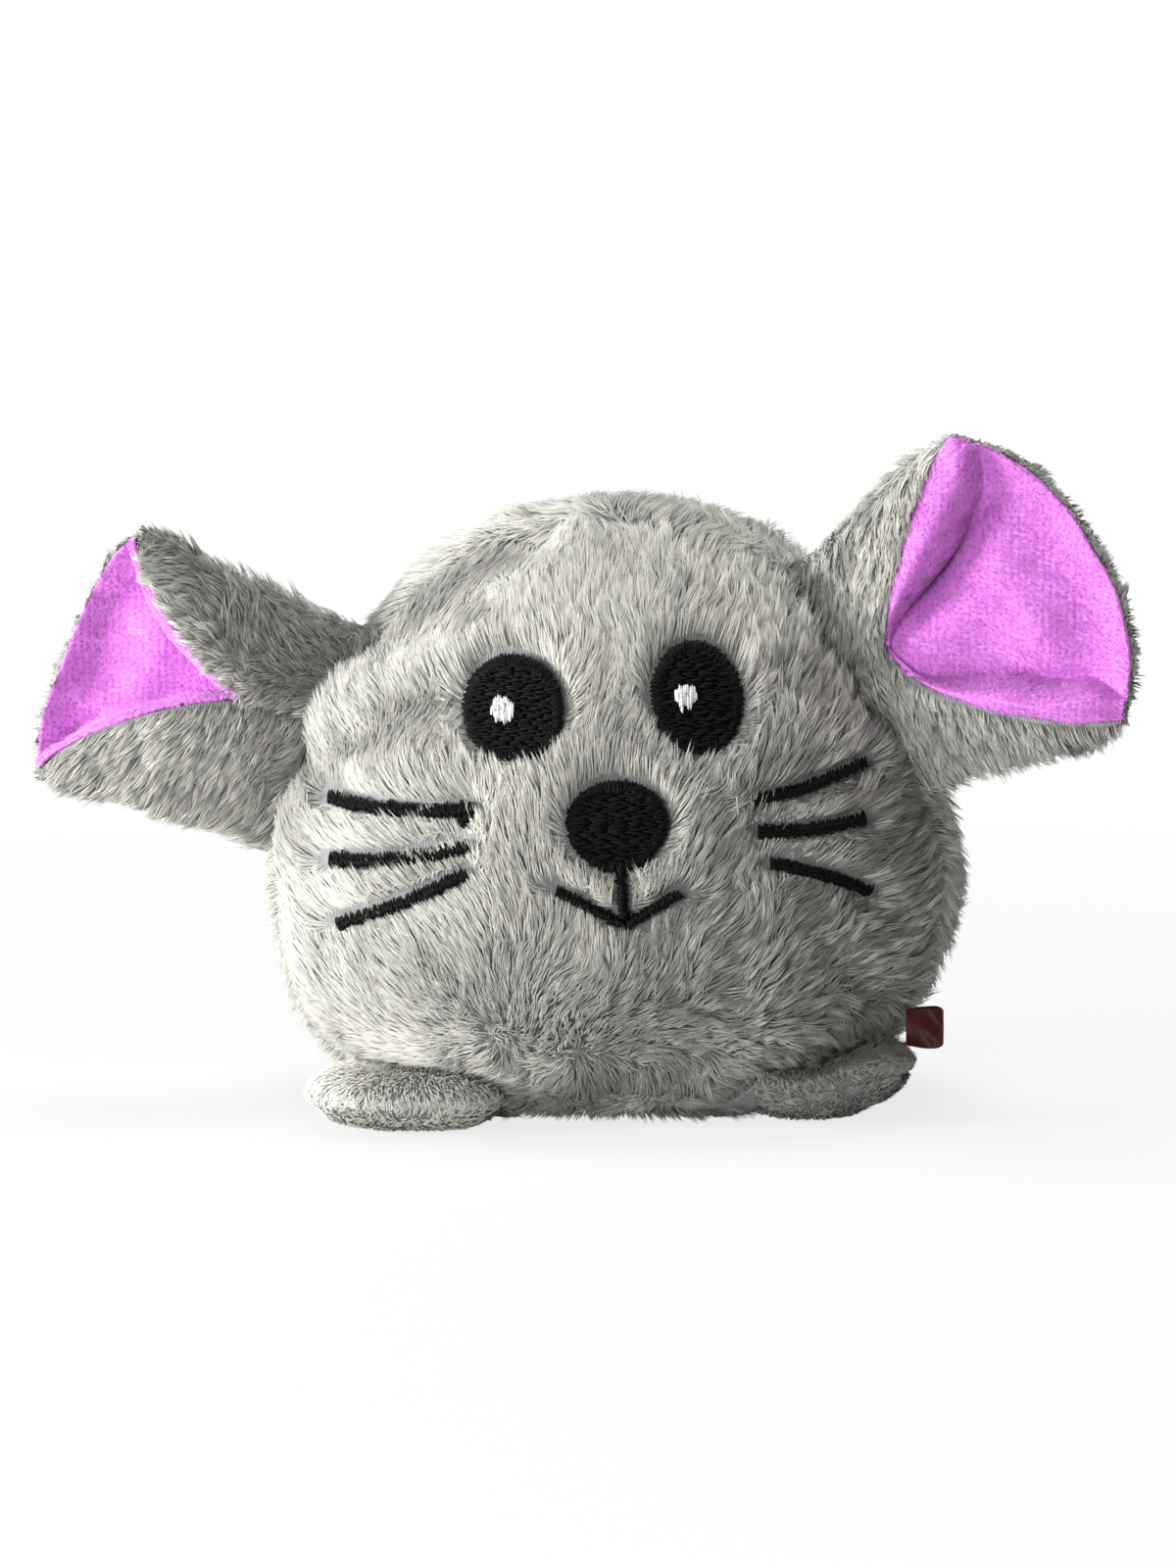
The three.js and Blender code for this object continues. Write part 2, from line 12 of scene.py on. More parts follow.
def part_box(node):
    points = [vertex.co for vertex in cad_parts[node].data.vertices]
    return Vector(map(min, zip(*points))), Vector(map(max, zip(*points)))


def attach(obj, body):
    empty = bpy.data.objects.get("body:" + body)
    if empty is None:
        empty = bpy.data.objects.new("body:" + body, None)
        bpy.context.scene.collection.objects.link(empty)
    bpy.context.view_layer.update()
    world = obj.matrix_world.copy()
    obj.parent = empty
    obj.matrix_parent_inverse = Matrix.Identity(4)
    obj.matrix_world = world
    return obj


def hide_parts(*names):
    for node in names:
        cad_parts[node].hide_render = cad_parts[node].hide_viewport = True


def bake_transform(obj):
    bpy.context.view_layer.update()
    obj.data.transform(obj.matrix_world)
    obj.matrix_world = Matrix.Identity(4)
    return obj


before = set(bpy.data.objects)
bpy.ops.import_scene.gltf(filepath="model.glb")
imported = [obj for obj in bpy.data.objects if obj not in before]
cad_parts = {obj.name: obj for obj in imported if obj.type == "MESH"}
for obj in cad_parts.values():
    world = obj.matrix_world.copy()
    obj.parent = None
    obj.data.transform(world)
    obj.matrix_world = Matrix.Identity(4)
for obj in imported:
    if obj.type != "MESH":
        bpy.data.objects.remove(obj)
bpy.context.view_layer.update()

bl_info = {
    "name": "Plush Mouse Cat Toy",
    "version": (1, 0, 0),
    "blender": (4, 5, 0),
    "location": "View3D > Sidebar > Mouse Toy",
    "description": "Builds a stuffed plush mouse for cats out of its sewn pieces",
    "category": "Add Mesh",
}

# One millimetre. Shapes are worked out in millimetres and kept in metres
MM = 0.001

# The map on strands and threads, which their finishes read
STRAND_MAP = "OFBake"

# The darkest and the lightest shade of a strand or thread in that map
SHADES = (0.03, 0.97)

# Thickness of the plush, and of the thinner cloth of the linings and the feet
PLUSH_THICKNESS = 0.6
THIN_THICKNESS = 0.5

# How near to the floor the cloth and the nap come
LOWEST_CLOTH = 0.35
LOWEST_NAP = 0.12

# How full the stuffed body is above the waist, below it and round its girth
CROWN_FULLNESS = 1.95
BELLY_FULLNESS = 2.6
GIRTH_FULLNESS = 2.2

# The seam between face and back, as a slope of its depth along the body's width
LOW_SEAM_SKEW = 0.03
EAR_SEAM_SKEW = -0.12
EAR_SEAM_HEIGHT = 43.3

# The latitudes between which the body's panels reach, and what is left open at their seams
LOWEST_LATITUDE = math.radians(-89.5)
BASE_LATITUDE = math.radians(-60.5)
HIGHEST_LATITUDE = math.radians(89.3)
BASE_GAP = 0.01
SEAM_GAP = 0.006

# Rows and columns of points on the body's panels, the filling, and the ears' backs and linings
FACE_GRID = (96, 128)
BACK_GRID = (104, 84)
BASE_GRID = (22, 121)
FILLING_GRID = (60, 91)
EAR_GRID = (60, 110)
LINING_GRID = (70, 150)

# Rows of points on the two parts of a foot, columns on both, and the latitude in degrees up to
# which the rows of feet and filling reach
FOOT_ROWS = {"upper": 34, "sole": 20}
FOOT_COLUMNS = 121
LAST_ROW = 89

# Depth and width of the dents along the face seam, the centre-back seam and the stitching
FACE_SEAM_DENT = (1.0, 1.5)
BACK_SEAM_DENT = (0.9, 1.4)
STITCHING_DENT = (0.75, 1.1)

# Where the stuffing pushes the cloth out in the front view: middle, half sizes, height, and
# whether that is behind the face seam alone
BULGES = (
    ((39.0, 25.0), (5.0, 13.0), 0.9, False),
    ((-31.0, 8.0), (7.0, 6.0), 0.7, False),
    ((-12.0, 68.0), (12.0, 6.0), 0.8, True),
)

# How far the filling lies inside the body's form, how thick its outer layer is, and its floor
FILLING_INSET = 4.4
FILLING_THICKNESS = 3.0
LOWEST_FILLING = 2.2

# The most strands that one piece of nap holds, how deep they are rooted, how many stand on a
# square millimetre of an ear's raw edge, and how many degrees they lift off each kind of cloth
MOST_STRANDS = 19500
ROOT_DEPTH = 0.25
RIM_STRANDS = 30.0
LIFTS = {"ear": 30.0, "rim": 52.0, "lining": 34.0, "foot": 19.0}

# Where the nap parts on the belly, and the whorl on the lower right
PARTING_HEIGHT = 9.0
PARTING_CENTRE = 2.0
WHORL = (29.6, 15.0)

# How near to filled shapes and to strokes the nap is rooted, how far they push it aside, how hard
# filled shapes do so, how hard strokes on the left and on the right do, and how near to stitching
# the nap's painted root shade is taken away, so that it is light from its root on
CLEAR_OF_FILLED = 0.25
CLEAR_OF_STROKES = 0.1
STITCHING_REACH = 3.0
PUSH_OFF_FILLED = 3.2
PUSH_OFF_STROKES = (2.8, 0.9)
ROOT_SHADE_LIFT_REACH = 1.7

# Where the random draws of each kind of piece start, then those of the waverings in their forms
SEEDS = {
    "body_nap": 20, "ear_nap": 60, "ear_rim": 65, "lining_nap": 70, "foot_nap": 80,
    "eye": 100, "glint": 110, "nose": 120, "muzzle_stroke": 130, "whisker": 140,
    "body_lumps": 5, "fine_combing": 11, "broad_combing": 12, "combed_lift": 13, "brushing_shade": 15,
    "filling_lumps": 31, "filling_tufts": 32, "ear_wrinkles": 41, "lining_wrinkles": 43,
    "foot_wrinkles": 51,
}

# Furrows of the cloth in the front view: two ends, width and depth
FURROWS = (
    ((-27.0, 55.0), (-9.0, 66.5), 3.4, 2.5),
    ((-35.0, 40.0), (-19.0, 49.0), 2.8, 2.1),
    ((-33.0, 27.0), (-17.0, 36.0), 2.0, 0.7),
    ((25.0, 54.0), (33.0, 45.0), 2.4, 1.3),
    ((20.0, 50.5), (31.0, 47.0), 2.0, 1.0),
    ((27.0, 17.0), (31.0, 13.5), 4.0, 1.8),
    ((-6.0, 11.5), (12.0, 10.5), 3.0, 0.7),
)

# Patches where the face's nap is brushed aside and darkened with painted shade: middle, half sizes,
# turn in degrees and how much painted shade they take
BRUSHED_AND_SHADED = (
    ((-24.0, 43.5), (10.0, 2.6), 37.0, 0.36),
    ((-19.0, 60.0), (8.5, 4.0), 35.0, 0.52),
    ((-35.5, 35.0), (3.0, 6.0), 0.0, 0.2),
    ((-7.0, 14.5), (21.0, 6.5), -3.0, 0.18),
    ((31.0, 28.0), (7.0, 15.0), 8.0, 0.2),
    ((27.0, 11.5), (12.0, 8.5), 0.0, 0.3),
)

# Embroidery in the front view, with its places as shares of the body's half width and height.
# Eyes and highlights: middle, half sizes and turn in degrees. The nose: middle, half sizes and
# taper. Strokes: width, and for each of their lines the two ends and how far it bows
EYES = {
    "left_eye": ((-0.274, 0.688), (5.5, 5.7), 0.0),
    "right_eye": ((0.25, 0.705), (4.95, 6.05), 13.0),
}
GLINTS = {
    "left_eye_highlight": ((-0.303, 0.687), (1.2, 1.2), 20.0),
    "right_eye_highlight": ((0.217, 0.708), (1.25, 1.0), 0.0),
}
NOSE = ((0.022, 0.508), (5.45, 4.9), 0.08)
STROKES = {
    "left_whisker_upper": (
        1.5,
        ((-0.39, 0.531), (-0.813, 0.531), 0.5),
        ((-0.39, 0.531), (-0.425, 0.508), 0.0),
    ),
    "left_whisker_middle": (1.55, ((-0.4, 0.473), (-0.806, 0.434), 0.5)),
    "left_whisker_lower": (1.5, ((-0.404, 0.43), (-0.783, 0.332), 0.3)),
    "right_whisker_upper": (1.3, ((0.412, 0.544), (0.742, 0.592), -0.3)),
    "right_whisker_middle": (1.45, ((0.424, 0.495), (0.74, 0.504), -0.3)),
    "right_whisker_lower": (1.3, ((0.46, 0.444), (0.753, 0.387), 0.4)),
    "mouth": (1.25, ((0.043, 0.352), (-0.15, 0.407), 0.0), ((0.043, 0.352), (0.2, 0.402), 0.0)),
    "philtrum": (1.2, ((0.03, 0.445), (0.041, 0.364), 0.0)),
}

# The thread's radius, and how far apart threads lie in rows, round an edge and along a stroke
THREAD_RADIUS = 0.15
ROW_STEP = 0.25
GLINT_ROW_STEP = 0.23
EDGE_STEP = 0.24
STROKE_STEP = 0.17

# How deep stitches lie under the body's form at their middle, and how much deeper at their ends
FILLED_DEPTH, FILLED_ARCH = 0.35, 0.5
GLINT_DEPTH, GLINT_ARCH = -0.05, 0.45
STROKE_DEPTH, STROKE_ARCH = 0.0, 1.5

# The dense ground under the eyes and the nose: how deep it lies and how thick it is
GROUND_DEPTH = 0.85
GROUND_THICKNESS = 0.35

# Each ear's seat on the body: hinge point, outward direction and the line of its seam
EAR_SEATS = {
    "left_ear": (
        (-37.480, -4.328, 43.874), (-0.91773, -0.10690, 0.38254), (0.388953, -0.046674, 0.920074),
    ),
    "right_ear": (
        (31.457, -13.568, 51.736), (0.76609, -0.41535, 0.49051), (-0.514251, 0.061710, 0.855417),
    ),
}

# How far an ear's folded cloth stands off its middle at the seam, how deep it lies under the nap,
# and the shares of the ear's length between which it reaches
EAR_ROOT_RADIUS = 1.2
EAR_INSET = 1.2
EAR_REACH = (-0.1, 0.975)

# The strips of a lining that roll in from the upper and the lower edge of the ear's mouth: width,
# sink of the crease and height of the roll. Then how far a lining flares at its outer edge, its
# distance from the folds, how far it is set forward, and its nap's painted tone: painted shade on
# the left ear, painted light on the right
LINING_STRIPS = {
    "left_ear": ((1.6, 0.4, 0.3), (0.8, 0.15, 0.1)),
    "right_ear": ((6.3, 4.8, 1.3), (4.4, 1.7, 1.0)),
}
LINING_FLARES = {"left_ear": 0.45, "right_ear": 0.1}
LINING_INSET = 1.35
LINING_FORWARD = 0.35
LINING_PAINTED_TONES = {"left_ear": -0.1, "right_ear": 0.1}

# Where the middle of each foot is, how far its rim lifts off the floor, how much it swells towards
# its right end, and the painted tone of its nap from its middle to its right end: painted light on
# the left foot, and on the right one the painted shadow of the belly. Then how full both are, how
# deep their cloth lies under the nap, how high their soles reach, and the gap at that seam in
# radians
FOOT_PLACES = {"left_foot": (-22.8, -17.6), "right_foot": (23.5, -13.0)}
TOE_LIFTS = {"left_foot": 0.0, "right_foot": 5.2}
FOOT_SWELLS = {"left_foot": 0.0, "right_foot": 2.0}
FOOT_PAINTED_TONES = {"left_foot": (0.44, 0.44), "right_foot": (-0.47, -0.12)}
FOOT_FULLNESS = 2.6
FOOT_INSET = 1.25
SOLE_TOP = 1.95
SOLE_GAP = 0.03

# Where the ribbon loop leaves the side seam, how deep its ends lie in the seam, and how far its
# outer corners are rounded
TAG_SEAT = (36.251, -8.932, 9.8)
TAG_ROOT = -1.6
TAG_CORNER = 1.15

# The lamps: place, width and power. All of them look at one point of the toy
LAMPS = {
    "key_lamp": ((-0.60, -0.22, 0.12), 0.22, 6.4),
    "front_lamp": ((-0.20, -0.65, 0.15), 0.28, 2.0),
    "top_lamp": ((0.0, 0.05, 0.65), 0.4, 3.6),
}
LAMP_AIM = (0, 0, 0.035)

# The floor's half width, and between which distances from the toy its shade fades to white
FLOOR_REACH = 8.0
FLOOR_FADE = (0.06, 0.30)

# The camera: focal length in millimetres, the point it looks at, its distance and its tilt
LENS = 127
CAMERA_AIM = (-0.0024, 0, 0.0373)
CAMERA_DISTANCE = 0.65
CAMERA_TILT = math.radians(6.5)


def length(name, description, default, unit="LENGTH"):
    """A size that a user may change, in metres."""
    return FloatProperty(
        name=name, description=description, default=default, min=0.0, unit=unit, precision=5
    )


def colour(name, description, default):
    """A linear colour that a user may change."""
    return FloatVectorProperty(
        name=name, description=description, default=default,
        size=3, min=0.0, max=1.0, subtype="COLOR",
    )


class BodySizes(bpy.types.PropertyGroup):
    """Sizes of the stuffed ball."""

    half_width: length("Half width", "From the middle to the side, nap included", 0.0396)
    front_depth: length("Front depth", "From the middle to the face", 0.033)
    back_depth: length("Back depth", "From the middle to the back", 0.034)
    waist_height: length("Waist height", "Height of the widest ring", 0.027)
    crown_rise: length("Crown rise", "From the widest ring to the top", 0.044)
    belly_drop: length("Belly drop", "From the widest ring to the lowest stuffing", 0.0275)
    crown_lean: length("Crown lean", "How far the crown leans to its left", 0.0018)
    seam_set_forward: length(
        "Seam set forward", "How far the face seam lies in front of the middle", 0.0085
    )


class NapSizes(bpy.types.PropertyGroup):
    """The pile of the plush and of the velour."""

    depth: length("Nap depth", "Height of the plush nap over its cloth", 0.0012)
    strand: length("Strand length", "Length of a tuft of the plush", 0.0038)
    width: length("Strand width", "Width of a tuft at its root", 0.00019)
    per_square_centimetre: IntProperty(
        name="Tufts", description="Tufts on a square centimetre of plush",
        default=1150, min=1,
    )
    velour_strand: length("Velour strand", "Length of the velour's fibres", 0.0008)
    velour_width: length("Velour width", "Width of the velour's fibres", 0.00009)
    velour_per_square_centimetre: IntProperty(
        name="Velour tufts", description="Tufts on a square centimetre of velour",
        default=1500, min=1,
    )


def ear_sizes(title, values, shares):
    """The sizes and shares of one ear, each with the ear's own default."""
    words = {
        "length": ("Length", "From the seam to the outer edge"),
        "root_half_height": ("Half height at the root", "Half the length of the ear's seam"),
        "tip_half_height": ("Half height at the tip", "Half the height of the outer edge"),
        "tip_rise": ("Tip rise", "How far the outer edge is set up along the seam"),
        "root_rise": ("Root rise", "How far the root is set up along the seam"),
        "cup_depth": ("Cup depth", "How far the back of the ear bellies out"),
        "lapel_depth": ("Lapel depth", "How far the folded front stands out"),
        "tip_cup_depth": ("Cup depth at the tip", "Depth of the cup at the outer edge"),
        "tip_lapel_depth": ("Lapel depth at the tip", "Depth of the lapels at the outer edge"),
        "waist": ("Waist", "How far the folded edges draw in halfway out"),
        "pinch": ("Pinch", "From the seam to the point where the lapels meet"),
        "pinch_rise": ("Pinch rise", "How far the lapels meet above the middle of the seam"),
        "tip_round": ("Tip rounding", "How far the corners of the outer edge draw back"),
        "seat_sink": ("Seat sink", "How far the top of the ear's seam sinks into the body"),
        "seat_back": ("Seat back", "How far the top of the ear's seam sets back round the body"),
        "round_share": ("Rounding share", "How late the rounding starts"),
        "upper_mouth_share": ("Upper mouth share", "How late the mouth opens upwards"),
        "lower_mouth_share": ("Lower mouth share", "How late the mouth opens downwards"),
        "mouth_bow_share": ("Mouth bow share", "How far the mouth's edges bow out"),
    }
    notes = {}
    for key, value in {**values, **shares}.items():
        label, description = words[key]
        measure = "LENGTH" if key in values else "NONE"
        notes[key] = FloatProperty(
            name=label, description=description, default=value, unit=measure, precision=5
        )
    contents = {"__annotations__": notes, "__doc__": "Sizes of one ear."}
    return type(title, (bpy.types.PropertyGroup,), contents)


LeftEarSizes = ear_sizes(
    "LeftEarSizes",
    {
        "length": 0.0276, "root_half_height": 0.0157, "tip_half_height": 0.0172,
        "tip_rise": 0.0, "root_rise": 0.0006, "cup_depth": 0.008, "lapel_depth": 0.005,
        "tip_cup_depth": 0.0045, "tip_lapel_depth": 0.003, "waist": 0.0014, "pinch": 0.0042,
        "pinch_rise": 0.002, "tip_round": 0.004, "seat_sink": 0.0024, "seat_back": 0.0,
    },
    {
        "round_share": 4.0, "upper_mouth_share": 1.45, "lower_mouth_share": 1.65,
        "mouth_bow_share": 0.0,
    },
)
RightEarSizes = ear_sizes(
    "RightEarSizes",
    {
        "length": 0.0299, "root_half_height": 0.0163, "tip_half_height": 0.0201,
        "tip_rise": 0.0006, "root_rise": 0.0009, "cup_depth": 0.0085, "lapel_depth": 0.005,
        "tip_cup_depth": 0.0045, "tip_lapel_depth": 0.003, "waist": 0.0005, "pinch": 0.0021,
        "pinch_rise": 0.0014, "tip_round": 0.0086, "seat_sink": 0.0008, "seat_back": 0.0032,
    },
    {
        "round_share": 2.6, "upper_mouth_share": 0.82, "lower_mouth_share": 0.52,
        "mouth_bow_share": 1.0,
    },
)


class FootSizes(bpy.types.PropertyGroup):
    """Sizes of the feet."""

    half_width: length("Half width", "Half the width of a foot", 0.0126)
    half_depth: length("Half depth", "Half the depth of a foot", 0.012)
    height: length("Height", "Height of a foot", 0.008)


class TagSizes(bpy.types.PropertyGroup):
    """Sizes of the ribbon loop in the side seam."""

    height: length("Height", "Width of the ribbon", 0.0048)
    reach: length("Reach", "How far the loop stands out of the seam", 0.0029)
    thickness: length("Thickness", "Thickness of the ribbon", 0.00025)
    loop_radius: length("Loop radius", "Outer radius of the loop", 0.00072)


class ToyColours(bpy.types.PropertyGroup):
    """Colours of the cloths and threads."""

    nap_tip: colour("Nap tip", "Plush at the tips", (0.56, 0.55, 0.495))
    # The nap's own colour darkened with painted shade, for the strands' roots and for the plush
    # cloth
    nap_shaded_root: colour("Nap root", "Plush down at the cloth", (0.135, 0.138, 0.137))
    velour_tip: colour("Velour tip", "Lining at the tips", (0.84, 0.28, 0.86))
    # The velour's own colour darkened with painted shade, for the strands' roots and for the velour
    # cloth
    velour_root: colour("Velour root", "Lining down at the cloth", (0.42, 0.06, 0.46))
    black_thread: colour("Black thread", "Eyes, nose, mouth and whiskers", (0.0022, 0.0024, 0.0026))
    white_thread: colour("White thread", "Highlights of the eyes", (0.66, 0.68, 0.66))
    ribbon: colour("Ribbon", "Loop in the side seam", (0.06, 0.0052, 0.0046))


class MouseToySettings(bpy.types.PropertyGroup):
    """Everything about the toy that a user may change."""

    body: PointerProperty(type=BodySizes)
    nap: PointerProperty(type=NapSizes)
    left_ear: PointerProperty(type=LeftEarSizes)
    right_ear: PointerProperty(type=RightEarSizes)
    foot: PointerProperty(type=FootSizes)
    tag: PointerProperty(type=TagSizes)
    colours: PointerProperty(type=ToyColours)


def settings():
    return bpy.context.scene.mouse_toy


# Small sums


def smooth(share):
    """A share from 0 to 1 that starts and ends gently."""
    share = np.clip(share, 0, 1)
    return share * share * (3 - 2 * share)


def mix(low, high, share):
    return low + (high - low) * share


def bell(distance, width):
    """One at no distance, and falling off gently over a width."""
    return np.exp(-((distance / width) ** 2))


def signed_power(value, power):
    return np.sign(value) * np.abs(value) ** power


def unit(vectors):
    return vectors / np.maximum(np.linalg.norm(vectors, axis=-1, keepdims=True), 1e-9)


def dot(first, second):
    return np.sum(first * second, axis=-1, keepdims=True)


def full_turn(columns):
    """Angles all the way round, as one row of a grid."""
    return np.linspace(0, 2 * math.pi, columns)[None, :]


def ripple(points, wavelength, seed, waves=9):
    """A smooth wavering of about one either way in each direction, in lumps of a wavelength."""
    draw = np.random.default_rng(seed)
    found = np.zeros_like(points)
    for _ in range(waves):
        way = draw.normal(size=3)
        way *= 2 * math.pi / (wavelength * draw.uniform(0.7, 1.5)) / np.linalg.norm(way)
        phase = draw.uniform(0, 2 * math.pi)
        found += np.sin(points @ way + phase)[..., None] * draw.normal(size=3)
    return found / math.sqrt(waves)


# The body's form


class BodyForm:
    """The stuffed ball. Its sizes take in the nap; an inset goes inwards from there."""

    def __init__(self):
        sizes = settings().body
        self.half_width = sizes.half_width / MM
        self.front = sizes.front_depth / MM
        self.back = sizes.back_depth / MM
        self.waist = sizes.waist_height / MM
        self.crown = sizes.crown_rise / MM
        self.belly = sizes.belly_drop / MM
        self.lean = sizes.crown_lean / MM
        self.seam_forward = sizes.seam_set_forward / MM
        self.middle = np.array([0.0, 0.0, self.waist])

    def point(self, azimuth, latitude, inset=0.0):
        azimuth, latitude = np.broadcast_arrays(azimuth, latitude)
        upper = latitude > 0
        fullness = np.where(upper, CROWN_FULLNESS, BELLY_FULLNESS)
        rise = signed_power(np.sin(latitude), 2 / fullness)
        girth = np.maximum(0, np.cos(latitude)) ** (2 / fullness)
        across = signed_power(np.cos(azimuth), 2 / GIRTH_FULLNESS)
        back = signed_power(np.sin(azimuth), 2 / GIRTH_FULLNESS)
        depth = np.where(back > 0, self.back, self.front) - inset
        x = (self.half_width - inset) * girth * across + np.where(upper, self.lean * rise**2, 0)
        y = depth * girth * back
        z = self.waist + (np.where(upper, self.crown, self.belly) - inset) * rise
        return np.stack([x, y, np.maximum(z, LOWEST_CLOTH)], -1)

    def front_face(self, x, z, inset):
        """Depth of the front surface, at an inset, behind a place in the front view."""
        upper = z > self.waist
        fullness = np.where(upper, CROWN_FULLNESS, BELLY_FULLNESS)
        reach = np.where(upper, self.crown, self.belly) - inset
        rise = np.clip(np.abs(z - self.waist) / reach, 0, 1)
        girth = (1 - rise**fullness) ** (1 / fullness)
        off = np.abs(x - np.where(upper, self.lean * rise**2, 0)) / (self.half_width - inset)
        inner = np.maximum(girth**GIRTH_FULLNESS - off**GIRTH_FULLNESS, 0)
        return -(self.front - inset) * inner ** (1 / GIRTH_FULLNESS)

    def underside(self, x, y, inset):
        """Height of the belly over a place on the floor, and whether there is belly over it."""
        depth = np.where(y > 0, self.back, self.front) - inset
        across = np.abs(x / (self.half_width - inset)) ** GIRTH_FULLNESS
        off = across + np.abs(y / depth) ** GIRTH_FULLNESS
        girth = np.clip(off ** (1 / GIRTH_FULLNESS), 0, 1)
        rise = (1 - girth**BELLY_FULLNESS) ** (1 / BELLY_FULLNESS)
        return self.waist - (self.belly - inset) * rise, girth < 1

    def seam_depth(self, x, z):
        skew = LOW_SEAM_SKEW + (EAR_SEAM_SKEW - LOW_SEAM_SKEW) * z / EAR_SEAM_HEIGHT
        return -self.seam_forward + x * skew

    def behind_seam(self, azimuth, latitude):
        place = self.point(azimuth, latitude)
        return place[..., 1] - self.seam_depth(place[..., 0], place[..., 2])

    def seam_azimuth(self, latitude, side):
        """The azimuth of the face seam at each latitude, on the left (-1) or right (1)."""
        front = np.full_like(latitude, -math.pi / 2)
        flank = np.full_like(latitude, -math.pi if side < 0 else 0.0)
        for _ in range(40):
            middle = (front + flank) / 2
            behind = self.behind_seam(middle, latitude) > 0
            flank = np.where(behind, middle, flank)
            front = np.where(behind, front, middle)
        return front

    def seam_crown(self):
        """The latitude at which the face seam crosses the middle."""
        low, high = 0.0, math.pi / 2
        for _ in range(40):
            middle = (low + high) / 2
            if self.behind_seam(np.array(-math.pi / 2), np.array(middle)) > 0:
                high = middle
            else:
                low = middle
        return low


def near_line(x, z, start, end):
    """Distance from places in the front view to a line, and the way from the line to them."""
    line = np.subtract(end, start)
    share = np.clip(((x - start[0]) * line[0] + (z - start[1]) * line[1]) / (line @ line), 0, 1)
    off = np.stack([x - start[0] - share * line[0], z - start[1] - share * line[1]], -1)
    distance = np.linalg.norm(off, axis=-1)
    return distance, off / np.maximum(distance, 1e-6)[..., None]


def face_place(shares):
    """A place in the front view, from shares of the body's half width and height."""
    sizes = settings().body
    height = sizes.waist_height + sizes.crown_rise
    return np.array([shares[0] * sizes.half_width, shares[1] * height]) / MM


def stroke_line(root, tip, bow, steps=8):
    """A gently bowed line of embroidery in the front view."""
    start, end = face_place(root), face_place(tip)
    along = np.linspace(0, 1, steps)[:, None]
    side = np.array([-(end - start)[1], (end - start)[0]]) / np.linalg.norm(end - start)
    return start + (end - start) * along + side * bow * 4 * along * (1 - along)


def ellipse_outline(place, sizes, turn, points=96):
    angle = np.linspace(0, 2 * math.pi, points, endpoint=False)
    lean = math.radians(turn)
    across, up = sizes[0] * np.cos(angle), sizes[1] * np.sin(angle)
    x = across * math.cos(lean) - up * math.sin(lean)
    z = across * math.sin(lean) + up * math.cos(lean)
    return face_place(place) + np.stack([x, z], -1)


def nose_outline(points=96):
    place, sizes, taper = NOSE
    angle = np.linspace(0, 2 * math.pi, points, endpoint=False)
    width = sizes[0] * (1 + taper * np.sin(angle))
    return face_place(place) + np.stack([width * np.cos(angle), sizes[1] * np.sin(angle)], -1)


def from_outline(x, z, outline):
    """Signed distance from an outline, negative inside, and the way out of it."""
    middle = outline.mean(0)
    centre = np.stack([x - middle[0], z - middle[1]], -1)
    angle = np.arctan2(centre[..., 1], centre[..., 0])
    turn = np.arctan2(outline[:, 1] - middle[1], outline[:, 0] - middle[0])
    order = np.argsort(turn)
    radius = np.linalg.norm(outline - middle, axis=1)[order]
    edge = np.interp(angle, turn[order], radius, period=2 * math.pi)
    distance = np.linalg.norm(centre, axis=-1)
    return distance - edge, centre / np.maximum(distance, 1e-6)[..., None]


def off_embroidery(places):
    """Distances from the filled shapes and from the strokes, each with the way away from them.

    A distance is negative on the shape or stroke.
    """
    x, z = places[..., 0], places[..., 2]
    filled = [from_outline(x, z, ellipse_outline(*eye)) for eye in EYES.values()]
    filled.append(from_outline(x, z, nose_outline()))
    strokes = []
    for width, *parts in STROKES.values():
        for part in parts:
            line = stroke_line(*part)
            for start, end in zip(line[:-1], line[1:]):
                distance, way = near_line(x, z, start, end)
                strokes.append((distance - width / 2, way))
    return nearest_of(filled), nearest_of(strokes)


def nearest_of(found):
    """The shortest of several distances at each place, with its way."""
    best, away = found[0]
    for distance, way in found[1:]:
        nearer = distance < best
        best = np.where(nearer, distance, best)
        away = np.where(nearer[..., None], way, away)
    return best, away


def body_relief(form, place):
    """How far the cloth is drawn in: furrows, seams, stitching and soft lumps of the stuffing."""
    x, y, z = place[..., 0], place[..., 1], place[..., 2]
    front = smooth((-2 - y) / 8)
    behind = y - form.seam_depth(x, z)
    inward = np.zeros_like(x)
    for start, end, width, depth in FURROWS:
        inward += front * depth * bell(near_line(x, z, start, end)[0], width)
    stitched = np.minimum(*(distance for distance, _ in off_embroidery(place)))
    depth, width = STITCHING_DENT
    inward += front * depth * bell(np.maximum(stitched, 0), width)
    depth, width = FACE_SEAM_DENT
    inward += depth * bell(behind, width) * (1 - 0.8 * over_right_crown(place))
    depth, width = BACK_SEAM_DENT
    inward += np.where(y > 0, depth * bell(x - form.lean, width), 0)
    inward += 0.38 * ripple(place, 17.0, SEEDS["body_lumps"])[..., 0] * smooth(z / 10)
    for middle, half, height, behind_only in BULGES:
        share = smooth(behind / 2) if behind_only else 1
        off = ((x - middle[0]) / half[0]) ** 2 + ((z - middle[1]) / half[1]) ** 2
        inward -= height * share * np.exp(-off)
    return inward


# Cloth surfaces as grids of points


def grid_normals(points, inside):
    """Normals of a grid that point away from inside, which is a point or a grid of them."""
    normals = np.cross(np.gradient(points, axis=1), np.gradient(points, axis=0))
    size = np.linalg.norm(normals, axis=-1)
    for row, source in ((0, 1), (-1, -2)):
        weak = size[row] < 1e-6
        normals[row][weak] = normals[source][weak]
    normals = unit(normals)
    if np.sum(dot(normals, points - inside)) < 0:
        normals = -normals
    return normals


